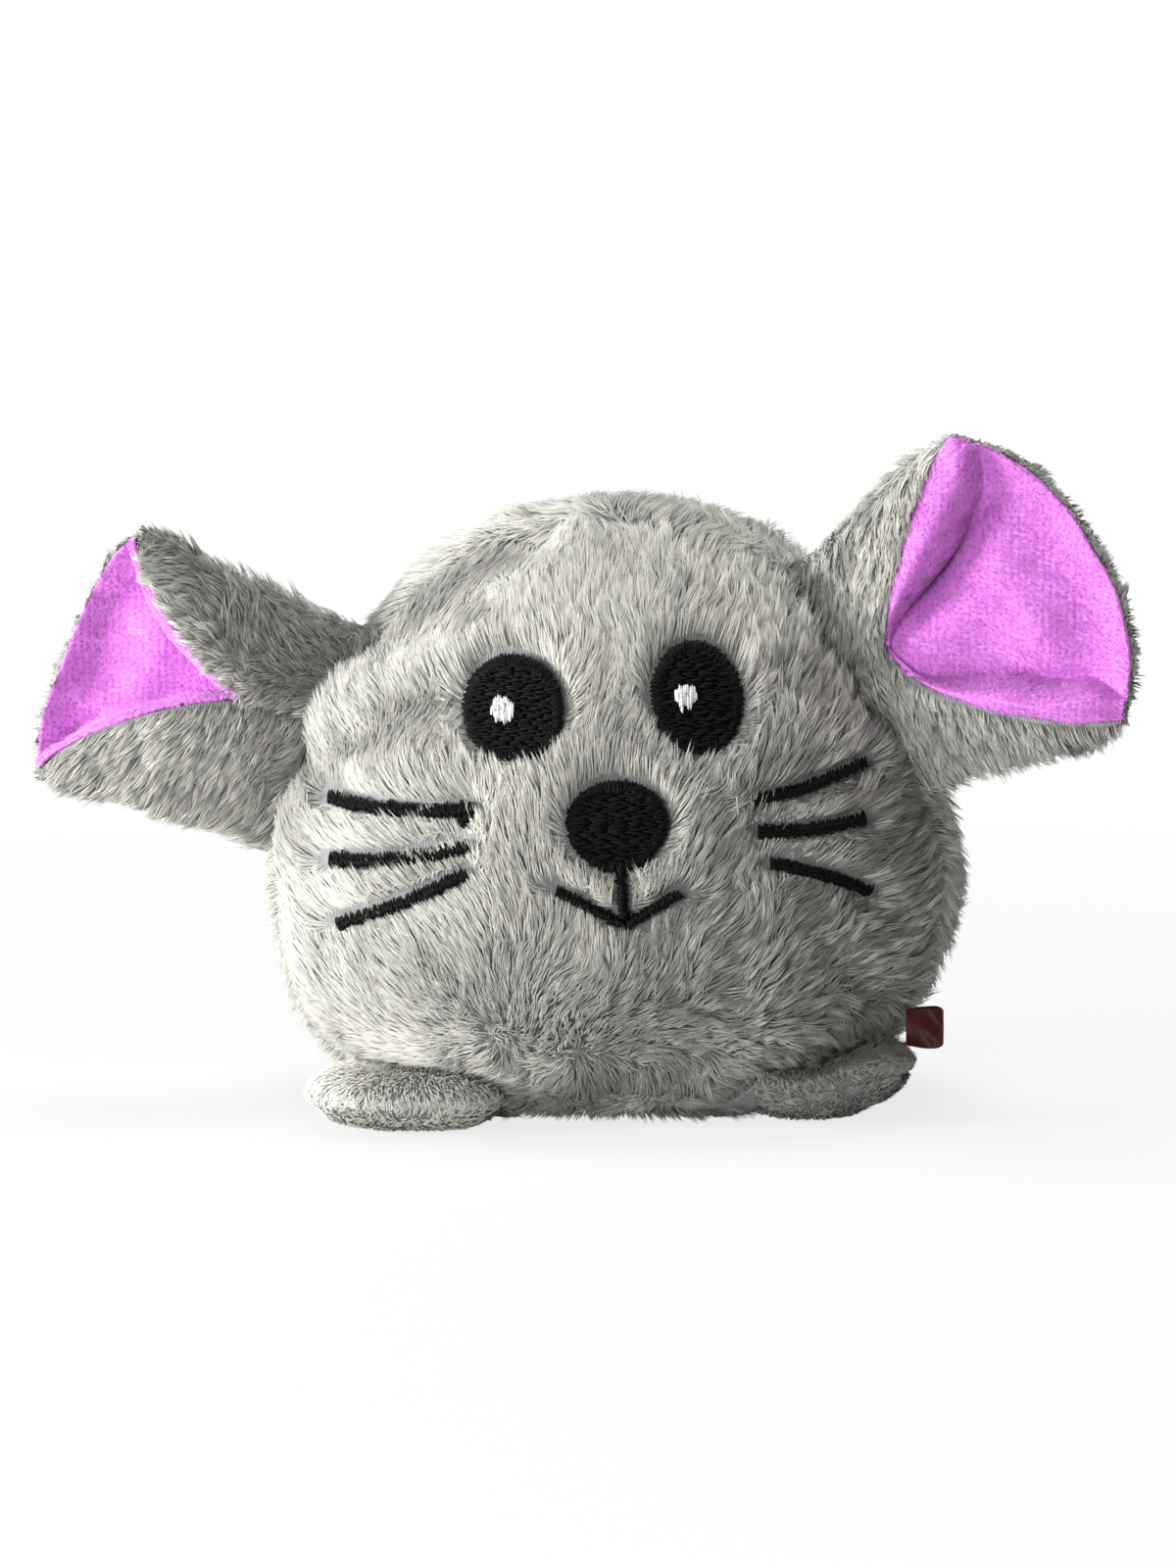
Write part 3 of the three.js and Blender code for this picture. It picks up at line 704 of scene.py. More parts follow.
class Cloth:
    """A grid of points on the outside of a piece of cloth, with its normals."""

    def __init__(self, points, inside):
        self.points = points
        self.normals = grid_normals(points, inside)


def body_cloth(form, azimuths, latitudes, inset):
    plain = form.point(azimuths, latitudes, inset)
    relief = body_relief(form, plain)
    drawn = plain - grid_normals(plain, form.middle) * relief[..., None]
    drawn[..., 2] = np.maximum(drawn[..., 2], LOWEST_CLOTH)
    return Cloth(drawn, form.middle)


def body_panels(form, inset):
    """The four panels of the body's cover, as grids from their lowest row up."""

    def between_seams(highest, grid):
        rows = np.linspace(BASE_LATITUDE, highest, grid[0])[:, None]
        across = np.linspace(SEAM_GAP, 1 - SEAM_GAP, grid[1])[None, :]
        return rows, across, *(form.seam_azimuth(rows, side) for side in (-1, 1))

    rows, across, left, right = between_seams(form.seam_crown() - 2 * SEAM_GAP, FACE_GRID)
    grids = {"face_panel": (left + (right - left) * across, rows)}
    rows, across, left, right = between_seams(HIGHEST_LATITUDE, BACK_GRID)
    behind = math.pi / 2
    grids["back_panel_left"] = (behind + (left + 2 * math.pi - behind) * across, rows)
    grids["back_panel_right"] = (right + (behind - right) * across, rows)
    rows = np.linspace(LOWEST_LATITUDE, BASE_LATITUDE - BASE_GAP, BASE_GRID[0])[:, None]
    grids["base_panel"] = (full_turn(BASE_GRID[1]), rows)
    return {name: body_cloth(form, *grid, inset) for name, grid in grids.items()}


# Meshes


def new_mesh(name, points, polygons, spots=None, normals=None):
    """A mesh from points in millimetres and arrays of polygons, each with one number of corners."""
    mesh = bpy.data.meshes.new(name)
    mesh.vertices.add(len(points))
    mesh.vertices.foreach_set("co", (points * MM).astype(np.float32).ravel())
    corners = np.concatenate([p.ravel() for p in polygons]).astype(np.int32)
    counts = np.concatenate([np.full(len(p), p.shape[1]) for p in polygons])
    mesh.loops.add(len(corners))
    mesh.loops.foreach_set("vertex_index", corners)
    mesh.polygons.add(len(counts))
    starts = np.concatenate([[0], np.cumsum(counts)[:-1]])
    mesh.polygons.foreach_set("loop_start", starts.astype(np.int32))
    mesh.update(calc_edges=True)
    mesh.shade_smooth()
    if spots is not None:
        lay_map(mesh, spots)
    if normals is not None:
        mesh.normals_split_custom_set_from_vertices(normals.tolist())
    return mesh


def lay_map(mesh, spots):
    """Lays the strand map over a mesh, with one spot for each of its points."""
    corners = np.zeros(len(mesh.loops), np.int32)
    mesh.loops.foreach_get("vertex_index", corners)
    layer = mesh.uv_layers.new(name=STRAND_MAP)
    layer.uv.foreach_set("vector", spots[corners].astype(np.float32).ravel())


def place_piece(name, mesh, material, body, nodes=(), hinge=None):
    """Puts a piece in the scene.

    A hinge holds the body that the piece bends from, and where the bend starts and ends.
    """
    piece = bpy.data.objects.new(name, mesh)
    bpy.context.scene.collection.objects.link(piece)
    mesh.materials.append(bpy.data.materials[material])
    if hinge is None:
        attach(piece, body)
    else:
        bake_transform(piece)
    if nodes:
        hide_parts(*nodes)
    return piece


def grid_quads(index):
    """The quads between the points of a grid, from the grid of their numbers."""
    corners = [index[:-1, :-1], index[:-1, 1:], index[1:, 1:], index[1:, :-1]]
    return np.stack(corners, -1).reshape(-1, 4)


def shell_mesh(name, cloth, thickness, looped=False):
    """A closed sheet of cloth of a thickness under a grid.

    A looped grid goes all the way round, and its first and last columns are one.
    """
    outer = cloth.points[:, :-1] if looped else cloth.points
    normals = cloth.normals[:, :-1] if looped else cloth.normals
    inner = outer - normals * thickness
    rows, columns = outer.shape[:2]
    deep = rows * columns
    index = np.arange(deep).reshape(rows, columns)
    wrapped = np.concatenate([index, index[:, :1]], 1) if looped else index
    quads = grid_quads(wrapped)
    middle = quads[len(quads) // 2]
    corners = outer.reshape(-1, 3)[middle]
    facing = np.cross(corners[1] - corners[0], corners[3] - corners[0])
    flip = facing @ normals.reshape(-1, 3)[middle[0]] < 0
    if flip:
        quads = quads[:, ::-1]
    rims = [wrapped[0, ::-1], wrapped[-1]]
    if not looped:
        rims += [wrapped[:, 0], wrapped[::-1, -1]]
    sides = []
    for rim in rims:
        rim = rim[::-1] if flip else rim
        sides.append(np.stack([rim[1:] + deep, rim[:-1] + deep, rim[:-1], rim[1:]], -1))
    points = np.concatenate([outer.reshape(-1, 3), inner.reshape(-1, 3)])
    return new_mesh(name, points, [quads, quads[:, ::-1] + deep, *sides])


def tube_arrays(paths, radii, sides, hints, pointed):
    """Points, polygons, and the share along and round each, for many thin tubes at once."""
    count, steps = paths.shape[:2]
    tangents = unit(np.gradient(paths, axis=1))
    up = unit(hints - dot(hints, tangents) * tangents)
    aside = np.cross(tangents, up)
    rings = steps - 1 if pointed else steps
    turn = 2 * math.pi * np.arange(sides) / sides
    spokes = (
        up[:, :rings, None] * np.cos(turn)[None, None, :, None]
        + aside[:, :rings, None] * np.sin(turn)[None, None, :, None]
    )
    points = (paths[:, :rings, None] + spokes * radii[:, :rings, None, None]).reshape(count, -1, 3)
    ways = unit(spokes).reshape(count, -1, 3)
    along = np.repeat(np.arange(rings) / (steps - 1), sides)
    around = np.tile(np.arange(sides) / (sides - 1) - 0.5, rings)
    quads, triangles = [], []
    for ring in range(0, (rings - 1) * sides, sides):
        for j in range(sides):
            after = (j + 1) % sides
            quads.append([ring + j, ring + after, ring + sides + after, ring + sides + j])
    last = (rings - 1) * sides
    caps = [list(range(sides))[::-1]]
    if pointed:
        points = np.concatenate([points, paths[:, -1:]], 1)
        ways = np.concatenate([ways, tangents[:, -1:]], 1)
        along, around = np.append(along, 1.0), np.append(around, 0.0)
        triangles = [[last + j, last + (j + 1) % sides, last + sides] for j in range(sides)]
    else:
        caps.append(list(range(last, last + sides)))
    base = (np.arange(count) * points.shape[1])[:, None, None]
    kinds = [np.array(kind) for kind in (quads, triangles, caps) if kind]
    found = [(kind[None] + base).reshape(-1, kind.shape[1]) for kind in kinds]
    return points, ways, found, along, around


def strand_mesh(
    name, paths, radii, cloth_normals, shade, root_shade_lifted=None, sides=3, pointed=True, softness=0.55,
):
    """Strands or threads, lit partly as the cloth under them.

    The map's first number is the strand's shade and its second the share along it. A fresh strand,
    next to stitching, is light from the root on.
    """
    hints = np.repeat(cloth_normals[:, None], paths.shape[1], 1)
    points, ways, polygons, along, around = tube_arrays(paths, radii, sides, hints, pointed)
    normals = unit(ways * (1 - softness) + cloth_normals[:, None] * softness)
    u = shade[:, None] + around[None] * 0.012
    v = 0.03 + 0.94 * along[None] + 0.02 * (around[None] ** 2)
    # Next to stitching, take the painted root shade away
    if root_shade_lifted is not None:
        v = mix(v, 0.6 + 0.4 * v, 0.85 * root_shade_lifted[:, None])
    spots = np.stack(np.broadcast_arrays(u, v), -1).reshape(-1, 2)
    return new_mesh(name, points.reshape(-1, 3), polygons, spots, normals.reshape(-1, 3))


# Nap


def cell_corners(values):
    """The values at the four corners of each cell of a grid."""
    return values[:-1, :-1], values[:-1, 1:], values[1:, :-1], values[1:, 1:]


def scatter(cloth, per_square_mm, draw):
    """Even random places on a cloth: points, normals, and shares down and across its grid."""
    a, b, c, d = cell_corners(cloth.points)
    halves = np.cross(b - a, c - a), np.cross(b - d, c - d)
    area = sum(np.linalg.norm(half, axis=-1) for half in halves)
    reach = np.cumsum(area.ravel() / 2)
    count = int(reach[-1] * per_square_mm)
    cell = np.searchsorted(reach, (np.arange(count) + draw.random(count)) / count * reach[-1])
    cell = np.minimum(cell, len(reach) - 1)
    u, v = draw.random((2, count, 1))

    def blended(values):
        a, b, c, d = (part.reshape(-1, values.shape[-1])[cell] for part in cell_corners(values))
        return mix(mix(a, b, u), mix(c, d, u), v)

    rows, columns = (np.linspace(0, 1, size) for size in cloth.points.shape[:2])
    shares = np.stack(np.meshgrid(rows, columns, indexing="ij"), -1)
    return blended(cloth.points), unit(blended(cloth.normals)), blended(shares)


def comb(
    roots, normals, flow, lift, reach, draw, clump=0.62, tousle=0.22, per_clump=5, uneven=None,
):
    """Paths of strands that lie along a flow, lift off the cloth by an angle and gather in tufts.

    The clump is how far a tuft's strands draw together, the tousle how far the flow wavers, and
    uneven how far tufts stand above and below each other.
    """
    fine = ripple(roots, 2.4, SEEDS["fine_combing"])
    broad = ripple(roots, 9.0, SEEDS["broad_combing"])
    flow = flow + fine * tousle + broad * tousle * 1.2
    flow = flow + draw.normal(size=roots.shape) * 0.1
    lie = unit(flow - dot(flow, normals) * normals)
    wavering = 5 * ripple(roots, 7.0, SEEDS["combed_lift"])[:, 0]
    angle = np.radians(lift + wavering + draw.normal(size=len(roots)) * 5)[:, None]
    first = np.cos(angle) * lie + np.sin(angle) * normals
    second = np.cos(angle * 0.45) * lie + np.sin(angle * 0.45) * normals
    reach = (reach * draw.uniform(0.78, 1.16, len(roots)))[:, None]
    middle = roots + first * reach * 0.5
    tip = middle + second * reach * 0.5
    tufts = max(1, len(roots) // per_clump)
    leaders = np.sort(draw.choice(len(roots), tufts, replace=False))
    tree = KDTree(len(leaders))
    for number, leader in enumerate(leaders):
        tree.insert(roots[leader], number)
    tree.balance()
    nearest = leaders[np.array([tree.find(root)[1] for root in roots])]
    tip = mix(tip, tip[nearest] + (roots - roots[nearest]) * 0.25, clump)
    middle = mix(middle, middle[nearest] + (roots - roots[nearest]) * 0.7, clump * 0.5)
    if uneven is not None:
        raised = normals * np.clip(draw.normal(size=len(roots))[nearest, None], -1.2, 2.0) * uneven
        tip, middle = tip + raised, middle + 0.4 * raised
    return np.stack([roots - normals * ROOT_DEPTH, middle, tip], 1), nearest


def nap_shade(roots, nearest, draw, seed, tone, contrast):
    """Light and dark of the strands: patches, tufts and single fibres."""
    tuft = 0.095 * contrast * draw.normal(size=len(roots))[nearest]
    patch = 0.07 * ripple(roots, 14.0, seed)[:, 0]
    fibre = 0.07 * draw.normal(size=len(roots))
    return np.clip(0.5 + tone + patch + tuft + fibre, *SHADES)


def grow(
    name, roots, normals, flow, lift, reach, draw, seed, body,
    pile="plush", tone=0.0, contrast=1.0, root_shade_lifted=0.0, hinge=None, **combing,
):
    """Combs nap out of its roots, in as many pieces side by side as the most strands ask for."""
    paths, nearest = comb(roots, normals, flow, lift, reach, draw, **combing)
    sizes = settings().nap
    material, slot, width = {
        "plush": ("plush_nap", "plush_grey", sizes.width),
        "velour": ("velour_nap", "velour_pink", sizes.velour_width),
    }[pile]
    thinning = np.array([[1.0, 0.8, 0.0]])
    radii = width / MM / 2 * draw.uniform(0.8, 1.25, (len(roots), 1)) * thinning
    shade = nap_shade(roots, nearest, draw, seed, tone, contrast)
    paths[..., 2] = np.maximum(paths[..., 2], LOWEST_NAP)
    pieces = -(-len(roots) // MOST_STRANDS)
    edges = np.quantile(roots[:, 0], np.linspace(0, 1, pieces + 1)[1:-1])
    band = np.searchsorted(edges, roots[:, 0])
    root_shade_lifted = np.broadcast_to(root_shade_lifted, len(roots))
    for number in range(pieces):
        own = band == number
        title = f"{name}_{number + 1}"
        mesh = strand_mesh(title, paths[own], radii[own], normals[own], shade[own], root_shade_lifted[own])
        place_piece(title, mesh, material, body, hinge=hinge)


def combed_up(x):
    """The way of nap that is combed up and outwards."""
    return np.stack([x / 38 * 0.75, np.full_like(x, 0.25), np.ones_like(x)], -1)


def face_flow(roots):
    """How the face's nap lies: up and outwards over the parting, down and outwards below it.

    Returns its way, its lift in degrees, the share of its full length and its tone.
    """
    x, z = roots[:, 0], roots[:, 2]
    parting = PARTING_HEIGHT + 0.06 * np.abs(x - PARTING_CENTRE)
    above = smooth((z - parting + 2.5) / 5)[:, None]
    outwards = (x - PARTING_CENTRE) / 22
    down = unit(np.stack([outwards, np.full_like(x, -0.4), np.full_like(x, -0.8)], -1))
    flow = mix(down, combed_up(x), above)
    off = np.stack([x - WHORL[0], np.zeros_like(x), z - WHORL[1] + 1], -1)
    swirl = bell(np.linalg.norm(off, axis=-1), 6)[:, None]
    flow = mix(flow, unit(off), 0.85 * swirl)
    parted = bell(z - parting, 3.0)
    hanging = smooth((7 - z) / 4)
    lift = 31 + 10 * parted + 16 * hanging
    # Brushed patches turn the nap aside and darken it with painted shade
    brushed = brushing_shade(roots)
    flow = flow + brushed[:, None] * np.array([2.4, 0.0, -1.8])
    # Painted light towards the crown, painted shade in the brushed patches
    tone = 0.08 * smooth((z - 48) / 12) - brushed
    return flow, lift, 1 - 0.22 * parted + 0.3 * hanging, tone


def part_round_stitching(roots, flow, reach, beside):
    """Lays the face's nap aside from the stitching that it stands beside.

    Nap that would lie over a stroke is cut short. Returns the way of the nap, its length and how
    fresh it is, which is how near it stands to the stitching.
    """
    by_right = smooth((roots[:, 0] - 8) / 5)
    root_shade_lifted = np.zeros(len(roots))
    for (clear, away), push in zip(beside, (PUSH_OFF_FILLED, mix(*PUSH_OFF_STROKES, by_right))):
        near = smooth(1 - clear / STITCHING_REACH)
        aside = np.stack([away[:, 0], np.zeros(len(away)), away[:, 1]], -1)
        lying = dot(unit(flow * np.array([1, 0, 1])), aside)[:, 0]
        flow = flow + aside * (near * mix(0.2, push, smooth(0.65 - lying)))[:, None]
        reach = reach * (1 - 0.84 * smooth(0.3 - lying * 1.2) * near)
        root_shade_lifted = np.maximum(root_shade_lifted, smooth(ROOT_SHADE_LIFT_REACH - clear))
    off_strokes = beside[1][0]
    tips = roots + unit(flow) * (0.9 * reach)[:, None]
    landing = off_embroidery(tips)[1][0]
    over = smooth((0.5 - landing) / 0.4) * by_right
    return flow, mix(reach, np.minimum(reach, off_strokes + 0.4), over), root_shade_lifted


def near_ears(roots):
    """How near places are to the seams of the ears, from 0 to 1."""
    found = np.zeros(len(roots))
    for name, (hinge, _, along) in EAR_SEATS.items():
        half = getattr(settings(), name).root_half_height / MM
        off = roots - np.array(hinge)
        off = off - np.clip(off @ np.array(along), -half, half)[:, None] * np.array(along)
        found = np.maximum(found, bell(np.linalg.norm(off, axis=-1), 2.1))
    return found


def over_right_crown(place):
    """Where the face's nap lies on over the seam, to the right of the crown."""
    x, y, z = place[..., 0], place[..., 1], place[..., 2]
    return smooth((x - 2) / 10) * smooth((z - 55) / 8) * smooth((6 - y) / 8)


def brushing_shade(roots):
    """How much darker the face's nap is where it has been brushed aside."""
    found = np.zeros(len(roots))
    for middle, half, turn, strength in BRUSHED_AND_SHADED:
        lean = math.radians(turn)
        x, z = roots[:, 0] - middle[0], roots[:, 2] - middle[1]
        along = (x * math.cos(lean) + z * math.sin(lean)) / half[0]
        across = (z * math.cos(lean) - x * math.sin(lean)) / half[1]
        wavy = 1 + 0.35 * ripple(roots, 6.0, SEEDS["brushing_shade"])[:, 0]
        found = np.maximum(found, strength * smooth(1.5 - np.hypot(along, across) * wavy))
    return found


def back_flow(roots):
    """How the back's nap lies: away from the crown, down and outwards."""
    x, y, z = roots[:, 0], roots[:, 1], roots[:, 2]
    flow = np.stack([x / 40 * 0.9, 0.5 + y / 80, np.full_like(x, -0.8)], -1)
    flow = mix(flow, combed_up(x), over_right_crown(roots)[:, None])
    return flow, 36 + 22 * smooth((12 - z) / 8)


def base_flow(roots):
    """How the nap under the belly lies, out from its middle, with the share of its full length."""
    flow = roots * np.array([1, 1, 0])
    rim = smooth((np.hypot(roots[:, 0], roots[:, 1]) - 12) / 6)
    return flow, 14 + 56 * rim, 0.6 + 0.5 * rim


# Materials


def new_material(name, roughness, sheen=0.0, sheen_roughness=0.5, specular=0.5):
    """An empty finish with its own numbers set on the shader."""
    material = bpy.data.materials.new(name)
    material.use_nodes = True
    shader = material.node_tree.nodes["Principled BSDF"]
    shader.inputs["Roughness"].default_value = roughness
    shader.inputs["Sheen Weight"].default_value = sheen
    shader.inputs["Sheen Roughness"].default_value = sheen_roughness
    shader.inputs["Specular IOR Level"].default_value = specular
    return material.node_tree, shader


def new_node(tree, kind, operation=None, **numbers):
    """A node with its numbers. In their names an underscore stands for a space."""
    node = tree.nodes.new(f"ShaderNode{kind}")
    if operation:
        node.operation = operation
    for socket, number in numbers.items():
        node.inputs[socket.replace("_", " ")].default_value = number
    return node


def link(tree, source, output, target, socket):
    tree.links.new(source.outputs[output], target.inputs[socket])


def new_ramp(tree, *stops):
    """A colour ramp from places and colours."""
    ramp = new_node(tree, "ValToRGB")
    elements = ramp.color_ramp.elements
    for number, (place, hue) in enumerate(stops):
        element = elements[number] if number < 2 else elements.new(place)
        element.position = place
        element.color = (*hue, 1)
    return ramp


def strand_numbers(tree):
    """The strand map's numbers: the shade as X and the share along the strand as Y."""
    spots = new_node(tree, "UVMap")
    spots.uv_map = STRAND_MAP
    apart = new_node(tree, "SeparateXYZ")
    link(tree, spots, "UV", apart, "Vector")
    return apart


def dimmed(tree, hue, dimmer):
    """A node that scales a ramp's colour by a dimmer's result."""
    scaled = new_node(tree, "VectorMath", "SCALE")
    link(tree, hue, "Color", scaled, 0)
    link(tree, dimmer, "Result", scaled, "Scale")
    return scaled


def blend_hues(first, second, share):
    return tuple(mix(low, high, share) for low, high in zip(first, second))


def shaded(hue, factor):
    return tuple(factor * value for value in hue)


def strand_finish(name, root, tip, roughness, sheen):
    """A finish for strands: dark at the root, light at the tip, each strand of its own shade."""
    tree, shader = new_material(name, roughness, sheen, sheen_roughness=0.4, specular=0.3)
    numbers = strand_numbers(tree)
    # Painted shade at the root, rising to the tip's own colour
    ramp = new_ramp(tree, (0.05, root), (0.85, tip), (0.42, blend_hues(root, tip, 0.62)))
    link(tree, numbers, "Y", ramp, "Fac")
    shade = new_node(tree, "MapRange", To_Min=0.5, To_Max=1.5)
    link(tree, numbers, "X", shade, "Value")
    link(tree, dimmed(tree, ramp, shade), "Vector", shader, "Base Color")


def cloth_finish(name, dark, light, roughness, sheen, weave, depth=0.35, holes=None):
    """A knitted or brushed cloth: cloudy colour, fine wales and, for velour, small needle holes."""
    tree, shader = new_material(name, roughness, sheen, specular=0.25)
    spot = new_node(tree, "TexCoord")
    cloud = new_node(tree, "TexNoise", Scale=420, Detail=6)
    link(tree, spot, "Object", cloud, "Vector")
    ramp = new_ramp(tree, (0.3, dark), (0.68, light))
    link(tree, cloud, "Fac", ramp, "Fac")
    if holes:
        pierced = dimmed(tree, ramp, needle_holes(tree, spot, holes))
        link(tree, pierced, "Vector", shader, "Base Color")
    else:
        link(tree, ramp, "Color", shader, "Base Color")
    wales = new_node(tree, "TexWave", Scale=weave, Distortion=3, Detail=3)
    link(tree, spot, "Object", wales, "Vector")
    height = new_node(tree, "Math", "ADD")
    link(tree, wales, "Fac", height, 0)
    link(tree, cloud, "Fac", height, 1)
    bump = new_node(tree, "Bump", Strength=depth, Distance=0.0002)
    link(tree, height, "Value", bump, "Height")
    link(tree, bump, "Normal", shader, "Normal")


def needle_holes(tree, spot, scale):
    """Small dark holes, seen from the front."""
    apart = new_node(tree, "SeparateXYZ")
    link(tree, spot, "Object", apart, "Vector")
    flat = new_node(tree, "CombineXYZ")
    link(tree, apart, "X", flat, "X")
    link(tree, apart, "Z", flat, "Y")
    cells = new_node(tree, "TexVoronoi")
    cells.voronoi_dimensions = "2D"
    cells.inputs["Scale"].default_value = scale
    cells.inputs["Randomness"].default_value = 0.7
    link(tree, flat, "Vector", cells, "Vector")
    hole = new_node(tree, "MapRange", From_Min=0.1, From_Max=0.38, To_Min=0.62)
    link(tree, cells, "Distance", hole, "Value")
    return hole


def thread_finish(name, base, roughness, sheen, specular):
    """A twisted, shiny embroidery thread, with a fine twist along it, and each stitch's shade."""
    tree, shader = new_material(name, roughness, sheen, sheen_roughness=0.3, specular=specular)
    numbers = strand_numbers(tree)
    shade = new_node(tree, "MapRange", To_Min=0.55, To_Max=1.45)
    link(tree, numbers, "X", shade, "Value")
    # Painted light and shade in bands along the thread's twist
    turns = new_node(tree, "Math", "MULTIPLY")
    turns.inputs[1].default_value = 40
    link(tree, numbers, "Y", turns, 0)
    twist = new_node(tree, "Math", "SINE")
    link(tree, turns, "Value", twist, 0)
    fibre = new_node(tree, "MapRange", From_Min=-1, To_Min=0.8, To_Max=1.1)
    link(tree, twist, "Value", fibre, "Value")
    both = new_node(tree, "Math", "MULTIPLY")
    link(tree, shade, "Result", both, 0)
    link(tree, fibre, "Result", both, 1)
    tone = new_node(tree, "VectorMath", "SCALE")
    tone.inputs[0].default_value = base
    link(tree, both, "Value", tone, "Scale")
    link(tree, tone, "Vector", shader, "Base Color")


def make_finishes():
    """The finishes of all the pieces, out of the toy's colours."""
    hues = settings().colours
    tip, root = tuple(hues.nap_tip), tuple(hues.nap_shaded_root)
    # The nap's roots and the plush cloth under them take the root colour, which carries painted
    # shade
    strand_finish("plush_nap", root, tip, roughness=0.8, sheen=0.25)
    cloth_finish(
        "plush_cloth", shaded(root, 1.3), shaded(root, 2.1), roughness=0.9, sheen=0.2, weave=900
    )
    # The velour cloth's colour is blended from the root colour, so it carries its painted shade
    pink, deep = tuple(hues.velour_tip), tuple(hues.velour_root)
    strand_finish("velour_nap", deep, pink, roughness=0.8, sheen=0.5)
    cloth_finish(
        "velour_cloth", blend_hues(deep, pink, 0.6), pink,
        roughness=0.85, sheen=0.4, weave=350, depth=0.3, holes=1450,
    )
    black, white = tuple(hues.black_thread), tuple(hues.white_thread)
    thread_finish("black_thread", black, roughness=0.5, sheen=0.0, specular=0.1)
    thread_finish("white_thread", white, roughness=0.4, sheen=0.1, specular=0.5)
    red = tuple(hues.ribbon)
    cloth_finish(
        "red_satin", shaded(red, 0.7), shaded(red, 1.25),
        roughness=0.38, sheen=0.1, weave=2600, depth=0.25,
    )
    cloth_finish(
        "white_fibre", (0.62, 0.61, 0.58), (0.86, 0.85, 0.82),
        roughness=0.95, sheen=0.3, weave=500, depth=1.0,
    )
    cloth_finish(
        "natural_cloth", (0.50, 0.45, 0.34), (0.68, 0.63, 0.50),
        roughness=0.9, sheen=0.1, weave=1500, depth=0.6,
    )


# Operators


class ToyOperator(bpy.types.Operator):
    """Shared by all pieces of the toy."""

    bl_options = {"REGISTER", "UNDO"}

    def build(self):
        raise NotImplementedError

    def execute(self, context):
        self.build()
        return {"FINISHED"}


class MOUSETOY_OT_stage(ToyOperator):
    """Sets the floor, the soft lamps and the camera."""

    bl_idname = "mousetoy.stage"
    bl_label = "Stage"

    def build(self):
        scene = bpy.context.scene
        scene.view_settings.view_transform = "Standard"
        self.floor()
        self.world(scene)
        for name, lamp in LAMPS.items():
            self.lamp(name, *lamp)
        self.camera(scene)

    def floor(self):
        """Paper that fades to white round the toy and keeps its shadow."""
        edge = FLOOR_REACH
        corners = [(-edge, -edge, 0), (edge, -edge, 0), (edge, edge, 0), (-edge, edge, 0)]
        mesh = bpy.data.meshes.new("floor")
        mesh.from_pydata(corners, [], [(0, 1, 2, 3)])
        floor = bpy.data.objects.new("floor", mesh)
        bpy.context.scene.collection.objects.link(floor)
        tree, shader = new_material("floor_paper", 0.9, specular=0.1)
        shader.inputs["Base Color"].default_value = (0.76, 0.76, 0.76, 1)
        glow = new_node(tree, "Emission")
        ray = new_node(tree, "LightPath")
        spot = new_node(tree, "TexCoord")
        far = new_node(tree, "VectorMath", "LENGTH")
        link(tree, spot, "Object", far, 0)
        start, end = FLOOR_FADE
        white = new_node(tree, "MapRange", From_Min=start, From_Max=end, To_Min=0.80)
        link(tree, far, "Value", white, "Value")
        share = new_node(tree, "Math", "MULTIPLY")
        link(tree, ray, "Is Camera Ray", share, 0)
        link(tree, white, "Result", share, 1)
        blend = new_node(tree, "MixShader")
        link(tree, share, "Value", blend, 0)
        link(tree, shader, "BSDF", blend, 1)
        link(tree, glow, "Emission", blend, 2)
        link(tree, blend, "Shader", tree.nodes["Material Output"], "Surface")
        mesh.materials.append(bpy.data.materials["floor_paper"])

    def world(self, scene):
        """A dim room that looks white to the camera."""
        world = bpy.data.worlds.new("pale_room")
        scene.world = world
        world.use_nodes = True
        tree = world.node_tree
        tree.nodes.clear()
        output = new_node(tree, "OutputWorld")
        soft = new_node(tree, "Background", Color=(0.95, 0.97, 1.0, 1), Strength=0.05)
        white = new_node(tree, "Background", Color=(1, 1, 1, 1))
        ray = new_node(tree, "LightPath")
        blend = new_node(tree, "MixShader")
        link(tree, ray, "Is Camera Ray", blend, 0)
        link(tree, soft, "Background", blend, 1)
        link(tree, white, "Background", blend, 2)
        link(tree, blend, "Shader", output, "Surface")

    def lamp(self, name, place, size, power):
        light = bpy.data.lights.new(name, "AREA")
        light.shape = "DISK"
        light.size = size
        light.energy = power
        lamp = bpy.data.objects.new(name, light)
        lamp.location = place
        aim = Vector(LAMP_AIM) - lamp.location
        lamp.rotation_euler = aim.to_track_quat("-Z", "Y").to_euler()
        bpy.context.scene.collection.objects.link(lamp)

    def camera(self, scene):
        lens = bpy.data.cameras.new("camera")
        lens.sensor_width = 36
        lens.lens = LENS
        lens.clip_start, lens.clip_end = 0.01, 20
        camera = bpy.data.objects.new("camera", lens)
        back = Vector((0, -math.cos(CAMERA_TILT), math.sin(CAMERA_TILT)))
        camera.location = Vector(CAMERA_AIM) + back * CAMERA_DISTANCE
        camera.rotation_euler = (-back).to_track_quat("-Z", "Y").to_euler()
        scene.collection.objects.link(camera)
        scene.camera = camera


